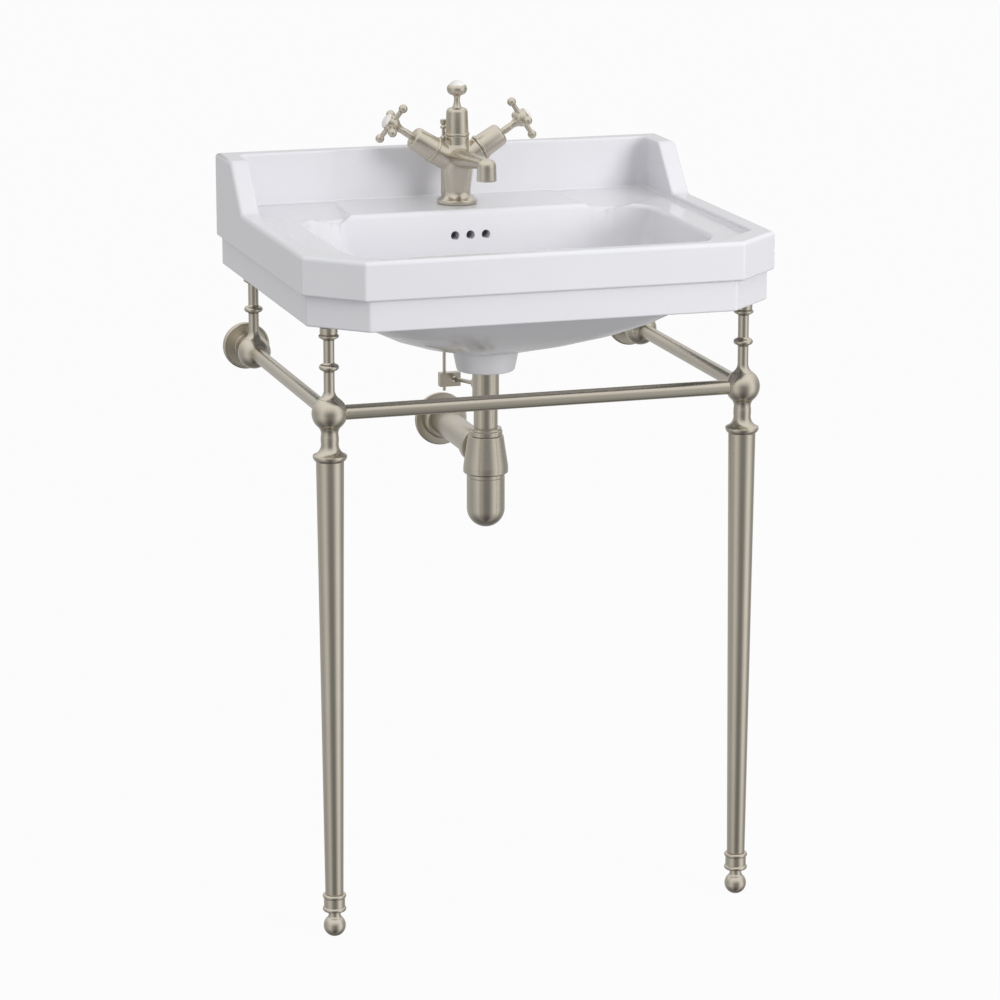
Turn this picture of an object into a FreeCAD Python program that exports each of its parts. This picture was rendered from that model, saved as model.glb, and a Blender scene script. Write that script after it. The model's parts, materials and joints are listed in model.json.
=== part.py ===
import FreeCAD, Part
import Sketcher
import math
import os
from types import SimpleNamespace

# Basin on a two-legged metal stand, with a mixer tap, a pop-up waste and a bottle trap.
# The floor is z = 0, the wall is the far face of the basin and the user stands on the -Y side.
doc = FreeCAD.newDocument("basin_with_stand")
sheet = doc.addObject("Spreadsheet::Sheet", "Sizes")

# Driving sizes, in millimetres and degrees
driving = {
    # basin, outside
    "basin_width": 560,
    "basin_depth": 470,
    "rim_height": 799,
    "upper_band": 44.5,
    "lower_band": 36,
    "band_step": 6.5,
    "corner_across": 58.5,
    "corner_deep": 57.2,
    "corner_radius": 5,
    "rim_radius": 5,
    "band_edge": 2.5,
    "china_wall": 14,
    # upstand and its wings
    "upstand_height": 56,
    "upstand_thickness": 23,
    "upstand_recess": 5,
    "recess_half": 142,
    "recess_slope": 13,
    "wing_top": 73,
    "wing_foot": 125,
    "wing_radius": 14,
    # deck and soap trays
    "side_border": 23,
    "front_border": 19,
    "deck_drop": 6.5,
    "deck_thickness": 13.5,
    "deck_corner": 12,
    "deck_radius": 3,
    "tray_inner": 150,
    "tray_side": 14,
    "tray_back": 10,
    "tray_bowl": 11,
    "tray_deep": 3.5,
    "tray_corner": 14,
    "tray_notch": 20,
    # bowl
    "bowl_side": 64,
    "bowl_front": 36,
    "bowl_back": 128,
    "bowl_depth": 145,
    "bowl_taper": 8,
    "bowl_front_corner": 76,
    "bowl_back_corner": 64,
    "bowl_curve": 110,
    "bowl_floor_rim": 4,
    "bowl_floor_flat": 2,
    "bowl_lip": 7,
    "bowl_wall": 11,
    # drain boss, overflow and fixing holes
    "waste_wall": 193,
    "boss_top": 80,
    "boss_bottom": 69,
    "boss_drop": 37,
    "drain_hole": 46,
    "drain_passage": 23,
    "nut_recess": 58,
    "nut_recess_deep": 14,
    "overflow_hole": 10.5,
    "overflow_pitch": 19.2,
    "overflow_drop": 30,
    "duct_width": 70,
    "duct_gap": 11,
    "duct_wall": 7,
    "tap_hole": 35,
    "wall_bolt_hole": 14,
    "wall_bolt_spacing": 280,
    "wall_bolt_rise": 21,
    # stand
    "leg_side": 33.4,
    "leg_front": 67.5,
    "hub_wall": 44.3,
    "rail_height": 617.5,
    "foot_ball": 25.8,
    "foot_centre": 12.5,
    "foot_neck": 13.4,
    "foot_height": 30.4,
    "foot_stud": 10,
    "stud_in_leg": 24,
    "collar_height": 20.6,
    "collar_waist": 24,
    "collar_bead": 5,
    "bead_radius": 3,
    "leg_foot_end": 21,
    "leg_head_end": 31.5,
    "leg_wall": 3,
    "leg_socket": 26,
    "cap_flange": 33,
    "cap_flange_height": 13.9,
    "cap_flange_round": 9,
    "cap_step": 27,
    "cap_cove": 14,
    "cap_neck": 19,
    "cap_neck_rise": 11.5,
    "cap_height": 38.2,
    "cap_spigot": 14,
    "hub_ball": 38.5,
    "hub_flat": 19.8,
    "hub_top": 14.7,
    "hub_core": 7,
    "rail_bar": 17,
    "rail_spigot": 12,
    "spot_face": 16.8,
    "post_bar": 12.3,
    "post_flare": 9.8,
    "post_cove": 12,
    "post_ring": 19,
    "post_ring_height": 11,
    "post_ring_round": 9.3,
    "post_ring_rise": 32.5,
    "cup_width": 21.7,
    "cup_height": 14.9,
    "cup_cap": 3.6,
    "cup_groove": 5,
    "cup_groove_deep": 0.8,
    "pad_thickness": 2.5,
    "pad_width": 20.6,
    "pad_boss": 36,
    "wall_flange": 60,
    "wall_flange_edge": 4,
    "wall_flange_dome": 8,
    "wall_flange_crown": 40,
    "hanger_hole": 10,
    "hanger_depth": 20,
    # tap
    "tap_wall": 76,
    "gasket": 2,
    "gasket_width": 46,
    "tap_base": 48.7,
    "tap_base_edge": 4,
    "tap_cove": 10,
    "tap_waist": 33.4,
    "tap_waist_rise": 13,
    "tap_belly": 41,
    "tap_belly_rise": 42,
    "tap_shoulder": 60,
    "tap_neck": 31,
    "tap_neck_rise": 70,
    "tap_height": 80,
    "arm_rise": 45,
    "arm_tilt": 32.7,
    "arm_reach": 33,
    "arm_width": 30.4,
    "inlet_thread": 10,
    "inlet_apart": 16,
    "inlet_front": 4,
    "inlet_deep": 12,
    "waterway": 7,
    "mix_way": 5,
    "mix_front": 9,
    "mix_rise": 14,
    "bonnet_ring": 33,
    "bonnet_ring_height": 4,
    "bonnet_width": 30,
    "bonnet_top": 27.4,
    "bonnet_height": 33.5,
    "bonnet_shoulder": 5,
    "bonnet_cap": 6.5,
    "valve_width": 20,
    "valve_seat": 10,
    "valve_floor": 6,
    "valve_port": 5,
    "spindle": 8,
    "stem_gap": 2.5,
    "stem_neck": 10.4,
    "stem_cove": 120,
    "spindle_grip": 18,
    "spindle_gap": 0.3,
    "stem_length": 21,
    "handle_hub": 19.2,
    "hub_length": 14,
    "hub_edge": 1.5,
    "spoke_bar": 5.2,
    "spoke_reach": 24.5,
    "spoke_ball": 10.6,
    "index_width": 18.6,
    "index_height": 3.5,
    "index_edge": 1.5,
    "left_handle_turn": 67,
    "spout_rise": 55,
    "spout_root": 25,
    "spout_spigot": 10,
    "spout_spigot_length": 10,
    "spout_root_width": 29.6,
    "spout_root_height": 23,
    "spout_reach": 122,
    "spout_tip_width": 18,
    "spout_tip_height": 14,
    "spout_tip_lift": 7,
    "nose_width": 23.4,
    "nose_bottom": 13,
    "nose_top": 14,
    "nose_round": 7,
    "aerator_width": 18,
    "aerator_height": 9,
    "aerator_inset": 0.8,
    "aerator_wall": 2.5,
    "finial_base": 12.6,
    "finial_waist": 7.4,
    "finial_cove": 12,
    "finial_stem": 15.5,
    "finial_cup": 24,
    "finial_cup_root": 10,
    "finial_cup_round": 7,
    "finial_cup_height": 8.5,
    "finial_knob": 23,
    "finial_dome": 9,
    "tap_stud": 8,
    "tap_stud_back": 9,
    "tap_stud_grip": 10,
    "tap_stud_drop": 24,
    "clamp_width": 48,
    "clamp_thickness": 3,
    "clamp_slot": 28,
    "tap_nut_width": 13,
    "tap_nut_height": 6.5,
    # lift rod and pop-up linkage
    "rod_left": 12,
    "rod_back": 17,
    "rod_width": 4,
    "rod_boss": 9,
    "rod_boss_rise": 76,
    "rod_hole": 7,
    "rod_knob_gap": 10.5,
    "rod_knob": 9.2,
    "rod_knob_height": 11,
    "rod_knob_disc": 2,
    "rod_knob_neck": 5.2,
    "rod_grip": 6,
    "rod_tail": 14,
    "link_block": 10,
    "link_wall": 4.5,
    "link_slot_width": 5.8,
    "link_slot_height": 8,
    "lever_width": 5,
    "lever_ball": 10,
    "port_lip": 3,
    "lever_tilt": 8,
    "lever_tip": 7,
    "lever_tail": 14,
    "pivot_reach": 24,
    "port_drop": 60,
    "port_width": 14,
    "port_bore": 8.4,
    "port_seat": 4.5,
    "port_nut": 17,
    "port_nut_height": 7,
    # waste and trap
    "waste_flange": 63,
    "waste_flange_height": 3,
    "waste_thread": 42,
    "waste_bore": 35,
    "waste_drop": 35,
    "waste_slot": 8,
    "waste_nut_width": 54,
    "waste_nut_height": 8,
    "waste_seal": 2,
    "tail_width": 32,
    "tail_wall": 1.6,
    "tail_collar": 14,
    "tail_length": 59,
    "plug_width": 40,
    "plug_height": 5,
    "plug_edge": 1.5,
    "plug_lift": 7.5,
    "plug_stem": 11,
    "plug_eye": 7.6,
    "plug_fin": 3,
    "plug_fin_gap": 0.3,
    "plug_fin_height": 16,
    "dip_wall": 1.2,
    "dip_overlap": 12,
    "trap_gap": 27.5,
    "trap_nut_width": 40,
    "trap_nut_height": 9,
    "trap_nut_bevel": 1.2,
    "trap_nut_lip": 38,
    "trap_nut_lip_height": 2.5,
    "seal_height": 3,
    "seal_width": 3.6,
    "trap_top_width": 42.4,
    "trap_skirt_width": 53.8,
    "trap_height": 47,
    "trap_skirt_height": 9,
    "trap_lip_height": 3,
    "trap_roof": 6,
    "trap_wall": 3.2,
    "bottle_width": 45.6,
    "bottle_drop": 65.5,
    "bottle_wall": 2,
    "bottle_neck": 9,
    "dip_clear": 22,
    "outlet_drop": 21,
    "outlet_width": 33.6,
    "outlet_wall": 1.5,
    "outlet_boss": 36,
    "outlet_port": 32,
    "outlet_boss_end": 36,
    "outlet_nut_width": 43,
    "outlet_nut_height": 14,
    "outlet_nut_start": 28,
    "escutcheon_width": 66,
    "escutcheon_edge": 5,
    "escutcheon_neck": 42,
    "escutcheon_neck_depth": 6,
    "escutcheon_step": 46,
    "escutcheon_depth": 18,
    # fits
    "slip": 0.05,
    "running": 0.06,
}
for row, (alias, value) in enumerate(driving.items(), 1):
    sheet.set(f"A{row}", alias)
    sheet.set(f"B{row}", str(value))
    sheet.setAlias(f"B{row}", alias)
doc.recompute()


class Size:
    # A size with its number and the formula that ties it to the sheet
    def __init__(self, number, formula):
        self.number = number
        self.formula = formula

    def __add__(self, other):
        return joined(self, "+", other)

    def __radd__(self, other):
        return joined(other, "+", self)

    def __sub__(self, other):
        return joined(self, "-", other)

    def __rsub__(self, other):
        return joined(other, "-", self)

    def __mul__(self, other):
        return joined(self, "*", other)

    def __rmul__(self, other):
        return joined(other, "*", self)

    def __truediv__(self, other):
        return joined(self, "/", other)

    def __neg__(self):
        return joined(0, "-", self)


def as_size(value):
    if isinstance(value, Size):
        return value
    return Size(float(value), repr(float(value)))


def joined(first, sign, second):
    first = as_size(first)
    second = as_size(second)
    if sign == "+":
        number = first.number + second.number
    elif sign == "-":
        number = first.number - second.number
    elif sign == "*":
        number = first.number * second.number
    else:
        number = first.number / second.number
    return Size(number, f"({first.formula} {sign} {second.formula})")


def root(size):
    return Size(math.sqrt(size.number), f"sqrt({size.formula})")


def tangent(angle):
    return Size(math.tan(math.radians(angle.number)), f"tan({angle.formula} * 1 deg)")


def across_ball(ball, offset):
    # Radius of a ball's section at a distance from its centre
    return root(ball * ball / 4 - offset * offset)


def dome(radius, rise):
    # Radius of a ball whose cap has this radius and rise
    return (radius * radius + rise * rise) / (rise * 2)


s = SimpleNamespace(**{name: Size(float(value), f"Sizes.{name}") for name, value in driving.items()})

# Levels and places that several pieces share
wall = s.basin_depth / 2
front = -wall
half_width = s.basin_width / 2
deck = s.rim_height - s.deck_drop
deck_under = deck - s.deck_thickness
band_bottom = s.rim_height - s.upper_band
underside = band_bottom - s.lower_band
upstand_top = s.rim_height + s.upstand_height
upstand_face = wall - s.upstand_thickness
bowl_half = half_width - s.bowl_side
bowl_near = front + s.bowl_front
bowl_far = wall - s.bowl_back
bowl_floor = deck - s.bowl_depth
bulge_bottom = bowl_floor - s.bowl_wall
boss_end = bowl_floor - s.boss_drop
waste_y = wall - s.waste_wall
floor_half = s.waste_flange / 2 + s.bowl_floor_rim
floor_corner = floor_half - s.bowl_floor_flat / 2
leg_x = half_width - s.leg_side
leg_y = front + s.leg_front
hub_y = wall - s.hub_wall
hub_seat = s.rail_height - across_ball(s.hub_ball, s.hub_flat / 2)
hub_head = s.rail_height + s.hub_top
leg_bottom = s.foot_height + s.collar_height
leg_top = hub_seat - s.cap_height
cup_top = underside - s.pad_thickness
cup_bottom = cup_top - s.cup_height
tap_y = wall - s.tap_wall
tap_seat = deck + s.gasket
arm_centre = tap_seat + s.arm_rise
tower_seat = tap_seat + s.tap_height
bonnet_end = s.arm_reach + s.bonnet_height
handle_start = bonnet_end + s.stem_gap
spoke_place = handle_start + s.stem_length + s.hub_length / 2
index_seat = handle_start + s.stem_length + s.hub_length
spout_z = tap_seat + s.spout_rise
rod_x = -s.rod_left
rod_y = tap_y + s.rod_back
rod_boss_top = tap_seat + s.rod_boss_rise
port_z = bowl_floor - s.port_drop
pivot_y = waste_y + s.pivot_reach
lever_reach = rod_y - pivot_y
link_z = port_z - lever_reach * tangent(s.lever_tilt)
eye_z = port_z + s.pivot_reach * tangent(s.lever_tilt)
port_end = s.pivot_reach + s.port_lip
waste_end = bowl_floor - s.waste_drop
tail_top = waste_end + s.tail_collar
tail_bottom = tail_top - s.tail_length
trap_top = tail_bottom - s.trap_gap - s.trap_nut_height
trap_bottom = trap_top - s.trap_height
outlet_z = trap_top - s.outlet_drop
bottle_bottom = trap_bottom - s.bottle_drop

along_x = FreeCAD.Vector(1, 0, 0)
along_y = FreeCAD.Vector(0, 1, 0)
along_z = FreeCAD.Vector(0, 0, 1)
sides = {"left": -1, "right": 1}
spoke_count = 4
bowl_steps = 6
bowl_arc = math.radians(36)
touch = 0.01
# Share of the cut corner by which its rounded ends lie inside the straight outline
corner_rounding = 0.06
pieces = {}


def bind(target, path, size):
    target.setExpression(path, as_size(size).formula)


def place(target, x=0, y=0, z=0, axis=along_z, angle=0):
    x, y, z, angle = (as_size(value) for value in (x, y, z, angle))
    base = FreeCAD.Vector(x.number, y.number, z.number)
    target.Placement = FreeCAD.Placement(base, FreeCAD.Rotation(axis, angle.number))
    for name, size in (("x", x), ("y", y), ("z", z)):
        bind(target, f"Placement.Base.{name}", size)
    if angle.number != 0:
        bind(target, "Placement.Rotation.Angle", angle)


def keep(label, target):
    target.Label = label
    pieces[label] = target
    return target


def new_body(name):
    body = doc.addObject("PartDesign::Body", name)
    body.Label = name
    return body


def new_sketch(body, role, offset=0):
    plane = [feature for feature in body.Origin.OriginFeatures if feature.Role == role][0]
    sketch = body.newObject("Sketcher::SketchObject", body.Name + "_sketch")
    sketch.AttachmentSupport = [(plane, "")]
    sketch.MapMode = "FlatFace"
    offset = as_size(offset)
    sketch.AttachmentOffset = FreeCAD.Placement(FreeCAD.Vector(0, 0, offset.number), FreeCAD.Rotation())
    bind(sketch, "AttachmentOffset.Base.z", offset)
    return sketch


def add_size(sketch, constraint, size):
    index = sketch.addConstraint(constraint)
    bind(sketch, f"Constraints[{index}]", size)


def fix_point(sketch, curve, end, across, up):
    for kind, axis_line, size in (("DistanceX", -2, as_size(across)), ("DistanceY", -1, as_size(up))):
        if size.formula == "0.0":
            sketch.addConstraint(Sketcher.Constraint("PointOnObject", curve, end, axis_line))
        else:
            add_size(sketch, Sketcher.Constraint(kind, -1, 1, curve, end, size.number), size)


def draw_outline(sketch, points):
    # A closed outline. A third entry is the radius of an arc to the next point, plus when it turns left
    ends = []
    for k, point in enumerate(points):
        following = points[(k + 1) % len(points)]
        start = FreeCAD.Vector(as_size(point[0]).number, as_size(point[1]).number, 0)
        stop = FreeCAD.Vector(as_size(following[0]).number, as_size(following[1]).number, 0)
        if len(point) == 2:
            ends.append((sketch.addGeometry(Part.LineSegment(start, stop), False), 1, 2))
            continue
        radius = as_size(point[2])
        chord = stop - start
        sag = abs(radius.number) - math.sqrt(max(radius.number ** 2 - chord.Length ** 2 / 4, 0))
        outward = FreeCAD.Vector(chord.y, -chord.x, 0) / chord.Length
        middle = (start + stop) / 2 + outward * math.copysign(sag, radius.number)
        if radius.number > 0:
            curve = sketch.addGeometry(Part.Arc(start, middle, stop), False)
            ends.append((curve, 1, 2))
        else:
            radius = -radius
            curve = sketch.addGeometry(Part.Arc(stop, middle, start), False)
            ends.append((curve, 2, 1))
        add_size(sketch, Sketcher.Constraint("Radius", curve, radius.number), radius)
    for k, (curve, first, last) in enumerate(ends):
        after, begin, unused = ends[(k + 1) % len(ends)]
        sketch.addConstraint(Sketcher.Constraint("Coincident", curve, last, after, begin))
    for (curve, first, last), point in zip(ends, points):
        fix_point(sketch, curve, first, point[0], point[1])


def draw_circle(sketch, across, up, radius):
    across, up, radius = (as_size(value) for value in (across, up, radius))
    centre = FreeCAD.Vector(across.number, up.number, 0)
    curve = sketch.addGeometry(Part.Circle(centre, along_z, radius.number), False)
    add_size(sketch, Sketcher.Constraint("Radius", curve, radius.number), radius)
    fix_point(sketch, curve, 3, across, up)


def volume_of(target):
    return 0 if target.Shape.isNull() else target.Shape.Volume


def extrude(body, kind, sketch, length, reverse):
    before = volume_of(body)
    feature = body.newObject(f"PartDesign::{kind}", f"{body.Name}_{kind.lower()}")
    feature.Profile = sketch
    feature.Length = as_size(length).number
    bind(feature, "Length", length)
    feature.Reversed = reverse
    doc.recompute()
    if kind == "Pocket" and body.Shape.Volume >= before:
        raise RuntimeError(f"a pocket of {body.Label} cuts nothing")
    return feature


def pad(body, sketch, length, reverse=False):
    return extrude(body, "Pad", sketch, length, reverse)


def pocket(body, sketch, length, reverse=False):
    # Cuts against the sketch's normal, or along it when reversed
    return extrude(body, "Pocket", sketch, length, reverse)


def revolve(body, sketch, axis="V_Axis"):
    feature = body.newObject("PartDesign::Revolution", body.Name + "_revolution")
    feature.Profile = sketch
    feature.ReferenceAxis = (sketch, [axis])
    feature.Angle = 360
    doc.recompute()
    return feature


def loft(body, kind, sections):
    feature = body.newObject(f"PartDesign::{kind}", f"{body.Name}_loft")
    feature.Profile = sections[0]
    feature.Sections = sections[1:]
    feature.Ruled = True
    doc.recompute()
    return feature


def fillet(body, wanted, radius):
    base = body.Tip
    names = [f"Edge{k}" for k, edge in enumerate(base.Shape.Edges, 1) if wanted(edge)]
    feature = body.newObject("PartDesign::Fillet", body.Name + "_fillet")
    feature.Base = (base, names)
    feature.Radius = as_size(radius).number
    bind(feature, "Radius", radius)
    doc.recompute()
    return feature


def middle_of(edge):
    return edge.valueAt((edge.FirstParameter + edge.LastParameter) / 2)


def before_wall(edge):
    return middle_of(edge).y < wall.number - touch


def is_level(edge, height):
    return abs(edge.BoundBox.ZMin - height.number) < touch and edge.BoundBox.ZLength < touch


def turned(name, points):
    # A piece turned on a lathe about its own upright axis
    body = new_body(name)
    sketch = new_sketch(body, "XZ_Plane")
    draw_outline(sketch, points)
    revolve(body, sketch)
    return body


def cylinder(name, radius, height):
    target = doc.addObject("Part::Cylinder", name)
    bind(target, "Radius", radius)
    bind(target, "Height", height)
    return target


def box(name, length, width, height):
    target = doc.addObject("Part::Box", name)
    bind(target, "Length", length)
    bind(target, "Width", width)
    bind(target, "Height", height)
    return target


def fused(name, shapes):
    # Joins the shapes one after another
    target = shapes[0]
    for other in shapes[1:]:
        union = doc.addObject("Part::Fuse", name)
        union.Base = target
        union.Tool = other
        target = union
    doc.recompute()
    return target


def cut(name, base, tool):
    doc.recompute()
    before = base.Shape.Volume
    target = doc.addObject("Part::Cut", name)
    target.Base = base
    target.Tool = tool
    target.Refine = True
    doc.recompute()
    if target.Shape.Volume >= before:
        raise RuntimeError(f"a cut of {name} takes nothing away")
    return target


def grouped(label, members):
    target = doc.addObject("Part::Compound", label)
    target.Links = members
    return keep(label, target)


def rectangle(low_x, high_x, low_y, high_y):
    return [(high_x, high_y), (low_x, high_y), (low_x, low_y), (high_x, low_y)]


def stadium(width, height, centre):
    # A rounded slot outline, wider than high
    round_end = height / 2
    straight = width / 2 - round_end
    low = centre - round_end
    high = centre + round_end
    return [
        (straight, low, round_end),
        (width / 2, centre, round_end),
        (straight, high),
        (-straight, high, round_end),
        (-width / 2, centre, round_end),
        (-straight, low),
    ]


def rounded_rectangle(low_x, high_x, low_y, high_y, radius):
    return [
        (high_x, low_y + radius),
        (high_x, high_y - radius, radius),
        (high_x - radius, high_y),
        (low_x + radius, high_y, radius),
        (low_x, high_y - radius),
        (low_x, low_y + radius, radius),
        (low_x + radius, low_y),
        (high_x - radius, low_y, radius),
    ]


def hexagon(width):
    corner = width / root(as_size(3))
    return [
        (corner, 0),
        (corner / 2, width / 2),
        (-corner / 2, width / 2),
        (-corner, 0),
        (-corner / 2, -width / 2),
        (corner / 2, -width / 2),
    ]


def band_outline(inset, far=wall):
    # The basin's plan with its two cut front corners
    side = half_width - inset
    near = front + inset
    return [
        (side, far),
        (-side, far),
        (-side, near + s.corner_deep),
        (-side + s.corner_across, near),
        (side - s.corner_across, near),
        (side, near + s.corner_deep),
    ]


def bowl_section(level, grow, curl=0):
    # The bowl's plan at a level: drawn in by the taper, and below the shoulder towards the seat of the waste
    drawn_in = (deck - level) * tangent(s.bowl_taper) - grow
    stay = 1 - curl
    side = (bowl_half - drawn_in) * stay + (floor_half + grow) * curl
    near = (bowl_near + drawn_in) * stay + (waste_y - floor_half - grow) * curl
    far = (bowl_far - drawn_in) * stay + (waste_y + floor_half + grow) * curl
    wide = s.bowl_front_corner * stay + floor_corner * curl + grow
    tight = s.bowl_back_corner * stay + floor_corner * curl + grow
    return [
        (side, near + wide),
        (side, far - tight, tight),
        (side - tight, far),
        (-side + tight, far, tight),
        (-side, far - tight),
        (-side, near + wide, wide),
        (-side + wide, near),
        (side - wide, near, wide),
    ]


def lofted_bowl(body, kind, top, floor, grow):
    # Steep sides down to a shoulder, then part of an ellipse that slopes down to the waste
    shoulder = floor + s.bowl_curve
    levels = [(top, bowl_section(top, grow))]
    for step in range(bowl_steps + 1):
        turn = bowl_arc * step / bowl_steps
        level = shoulder - math.sin(turn) / math.sin(bowl_arc) * s.bowl_curve
        curl = (1 - math.cos(turn)) / (1 - math.cos(bowl_arc))
        levels.append((level, bowl_section(level, grow, curl)))
    sections = []
    for level, outline in levels:
        sketch = new_sketch(body, "XY_Plane", level)
        draw_outline(sketch, outline)
        sections.append(sketch)
    loft(body, kind, sections)


def basin():
    body = new_body("basin")

    # Upper band with rounded corners
    sketch = new_sketch(body, "XY_Plane", band_bottom)
    draw_outline(sketch, band_outline(0))
    pad(body, sketch, s.upper_band)
    fillet(body, lambda edge: edge.BoundBox.ZLength > touch and before_wall(edge), s.corner_radius)

    # Upstand block, with its sloping ends blended into the rim
    slope_top = wall - s.wing_top
    slope_foot = wall - s.wing_foot
    sketch = new_sketch(body, "YZ_Plane", -half_width)
    draw_outline(sketch, [
        (wall, band_bottom),
        (wall, upstand_top),
        (slope_top, upstand_top),
        (slope_foot, s.rim_height),
        (slope_foot, band_bottom),
    ])
    pad(body, sketch, s.basin_width)
    for level, along in ((s.rim_height, slope_foot), (upstand_top, slope_top)):
        def at_slope_end(edge):
            return is_level(edge, level) and abs(middle_of(edge).y - along.number) < touch

        fillet(body, at_slope_end, s.wing_radius)

    # Deck sunk below the rim, which also leaves the upstand and its wings
    inner_x = half_width - s.side_border
    inner_front = front + s.front_border
    sketch = new_sketch(body, "XY_Plane", deck)
    draw_outline(sketch, [
        (inner_x, upstand_face - s.deck_corner, s.deck_corner),
        (inner_x - s.deck_corner, upstand_face),
        (s.recess_half, upstand_face),
        (s.recess_half - s.recess_slope, upstand_face + s.upstand_recess),
        (-s.recess_half + s.recess_slope, upstand_face + s.upstand_recess),
        (-s.recess_half, upstand_face),
        (-inner_x + s.deck_corner, upstand_face, s.deck_corner),
        (-inner_x, upstand_face - s.deck_corner),
        (-inner_x, inner_front + s.corner_deep),
        (-inner_x + s.corner_across, inner_front),
        (inner_x - s.corner_across, inner_front),
        (inner_x, inner_front + s.corner_deep),
    ])
    pocket(body, sketch, s.deck_drop + s.upstand_height + s.rim_radius, reverse=True)

    def on_outside(edge):
        # Distance in from the outer outline, where the cut corner counts as a side
        point = middle_of(edge)
        aside = half_width.number - abs(point.x)
        ahead = point.y - front.number
        corner = aside / s.corner_across.number + ahead / s.corner_deep.number - 1
        return min(aside, ahead, wall.number - point.y) < touch or corner < corner_rounding

    def inside_rim(edge):
        return not on_outside(edge) and abs(middle_of(edge).x) < inner_x.number + touch

    above_rim = s.rim_height.number - touch
    fillet(body, lambda edge: edge.BoundBox.ZMin > above_rim and inside_rim(edge), s.deck_radius)
    fillet(body, lambda edge: edge.BoundBox.ZMin > above_rim and on_outside(edge), s.rim_radius)
    fillet(body, lambda edge: is_level(edge, deck), s.deck_radius)

    # Lower band, set in from the upper one
    sketch = new_sketch(body, "XY_Plane", underside)
    draw_outline(sketch, band_outline(s.band_step))
    pad(body, sketch, s.lower_band)
    low = band_bottom.number + touch
    fillet(body, lambda edge: edge.BoundBox.ZLength > touch and edge.BoundBox.ZMax < low
           and before_wall(edge), s.corner_radius)
    fillet(body, lambda edge: is_level(edge, underside) and before_wall(edge), s.band_edge)
    fillet(body, lambda edge: is_level(edge, band_bottom) and on_outside(edge)
           and before_wall(edge), s.band_edge)

    # Hollow underside, and solid bosses over the four posts
    sketch = new_sketch(body, "XY_Plane", underside)
    draw_outline(sketch, band_outline(s.band_step + s.china_wall, wall - s.china_wall))
    pocket(body, sketch, deck_under - underside, reverse=True)
    sketch = new_sketch(body, "XY_Plane", underside)
    for x in (-leg_x, leg_x):
        for y in (leg_y, hub_y):
            draw_circle(sketch, x, y, s.pad_boss / 2)
    pad(body, sketch, deck_under - underside)

    # Bowl shell from below
    lofted_bowl(body, "AdditiveLoft", deck_under + s.bowl_wall / 2, bulge_bottom, s.bowl_wall)

    # Overflow duct behind the bowl and under its floor
    duct_floor = boss_end + s.nut_recess_deep + s.duct_wall
    duct_near = bowl_far + s.bowl_wall
    duct_far = duct_near + s.duct_gap
    duct_half = s.duct_width / 2
    passage_half = s.drain_passage / 2
    passage_height = s.duct_gap
    sketch = new_sketch(body, "XY_Plane", duct_floor - s.duct_wall)
    duct_side = duct_half + s.duct_wall
    draw_outline(sketch, rectangle(-duct_side, duct_side, bowl_far, duct_far + s.duct_wall))
    pad(body, sketch, deck_under - duct_floor + s.duct_wall)
    sketch = new_sketch(body, "XY_Plane", duct_floor - s.duct_wall)
    passage_side = passage_half + s.duct_wall
    draw_outline(sketch, rectangle(-passage_side, passage_side, waste_y, duct_far))
    pad(body, sketch, passage_height + s.duct_wall * 2)

    # Drain boss
    sketch = new_sketch(body, "XZ_Plane", -waste_y)
    draw_outline(sketch, [
        (0, boss_end),
        (s.boss_bottom / 2, boss_end),
        (s.boss_top / 2, bulge_bottom),
        (s.boss_top / 2, bowl_floor - s.bowl_wall / 2),
        (0, bowl_floor - s.bowl_wall / 2),
    ])
    revolve(body, sketch)
    fillet(body, lambda edge: is_level(edge, boss_end), s.band_edge)

    # Bowl
    def at_bowl(edge):
        point = middle_of(edge)
        along_bowl = bowl_near.number - touch < point.y < bowl_far.number + touch
        return along_bowl and abs(point.x) < bowl_half.number + touch

    lofted_bowl(body, "SubtractiveLoft", deck + s.deck_drop, bowl_floor, 0)
    fillet(body, lambda edge: is_level(edge, deck) and at_bowl(edge), s.bowl_lip)

    # Soap trays that drain into the bowl
    tray_near = bowl_far + s.bowl_lip + s.tray_bowl
    tray_far = upstand_face - s.tray_back
    tray_out = half_width - s.side_border - s.tray_side
    for side in sides.values():
        sketch = new_sketch(body, "XY_Plane", deck - s.tray_deep)
        near_x, far_x = (s.tray_inner, tray_out) if side > 0 else (-tray_out, -s.tray_inner)
        draw_outline(sketch, rounded_rectangle(near_x, far_x, tray_near, tray_far, s.tray_corner))
        pocket(body, sketch, s.tray_deep * 2, reverse=True)
        sketch = new_sketch(body, "XY_Plane", deck - s.tray_deep)
        notch = s.tray_inner + s.tray_corner
        low_x, high_x = (notch, notch + s.tray_notch) if side > 0 else (-notch - s.tray_notch, -notch)
        draw_outline(sketch, rectangle(low_x, high_x, bowl_far - s.bowl_lip, tray_near + s.tray_deep))
        pocket(body, sketch, s.tray_deep * 2, reverse=True)

    # Drain hole, with a recess below for the back nut
    sketch = new_sketch(body, "XY_Plane", boss_end)
    draw_circle(sketch, 0, waste_y, s.drain_hole / 2)
    pocket(body, sketch, s.boss_drop * 2, reverse=True)
    sketch = new_sketch(body, "XY_Plane", boss_end)
    draw_circle(sketch, 0, waste_y, s.nut_recess / 2)
    pocket(body, sketch, s.nut_recess_deep, reverse=True)

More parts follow.
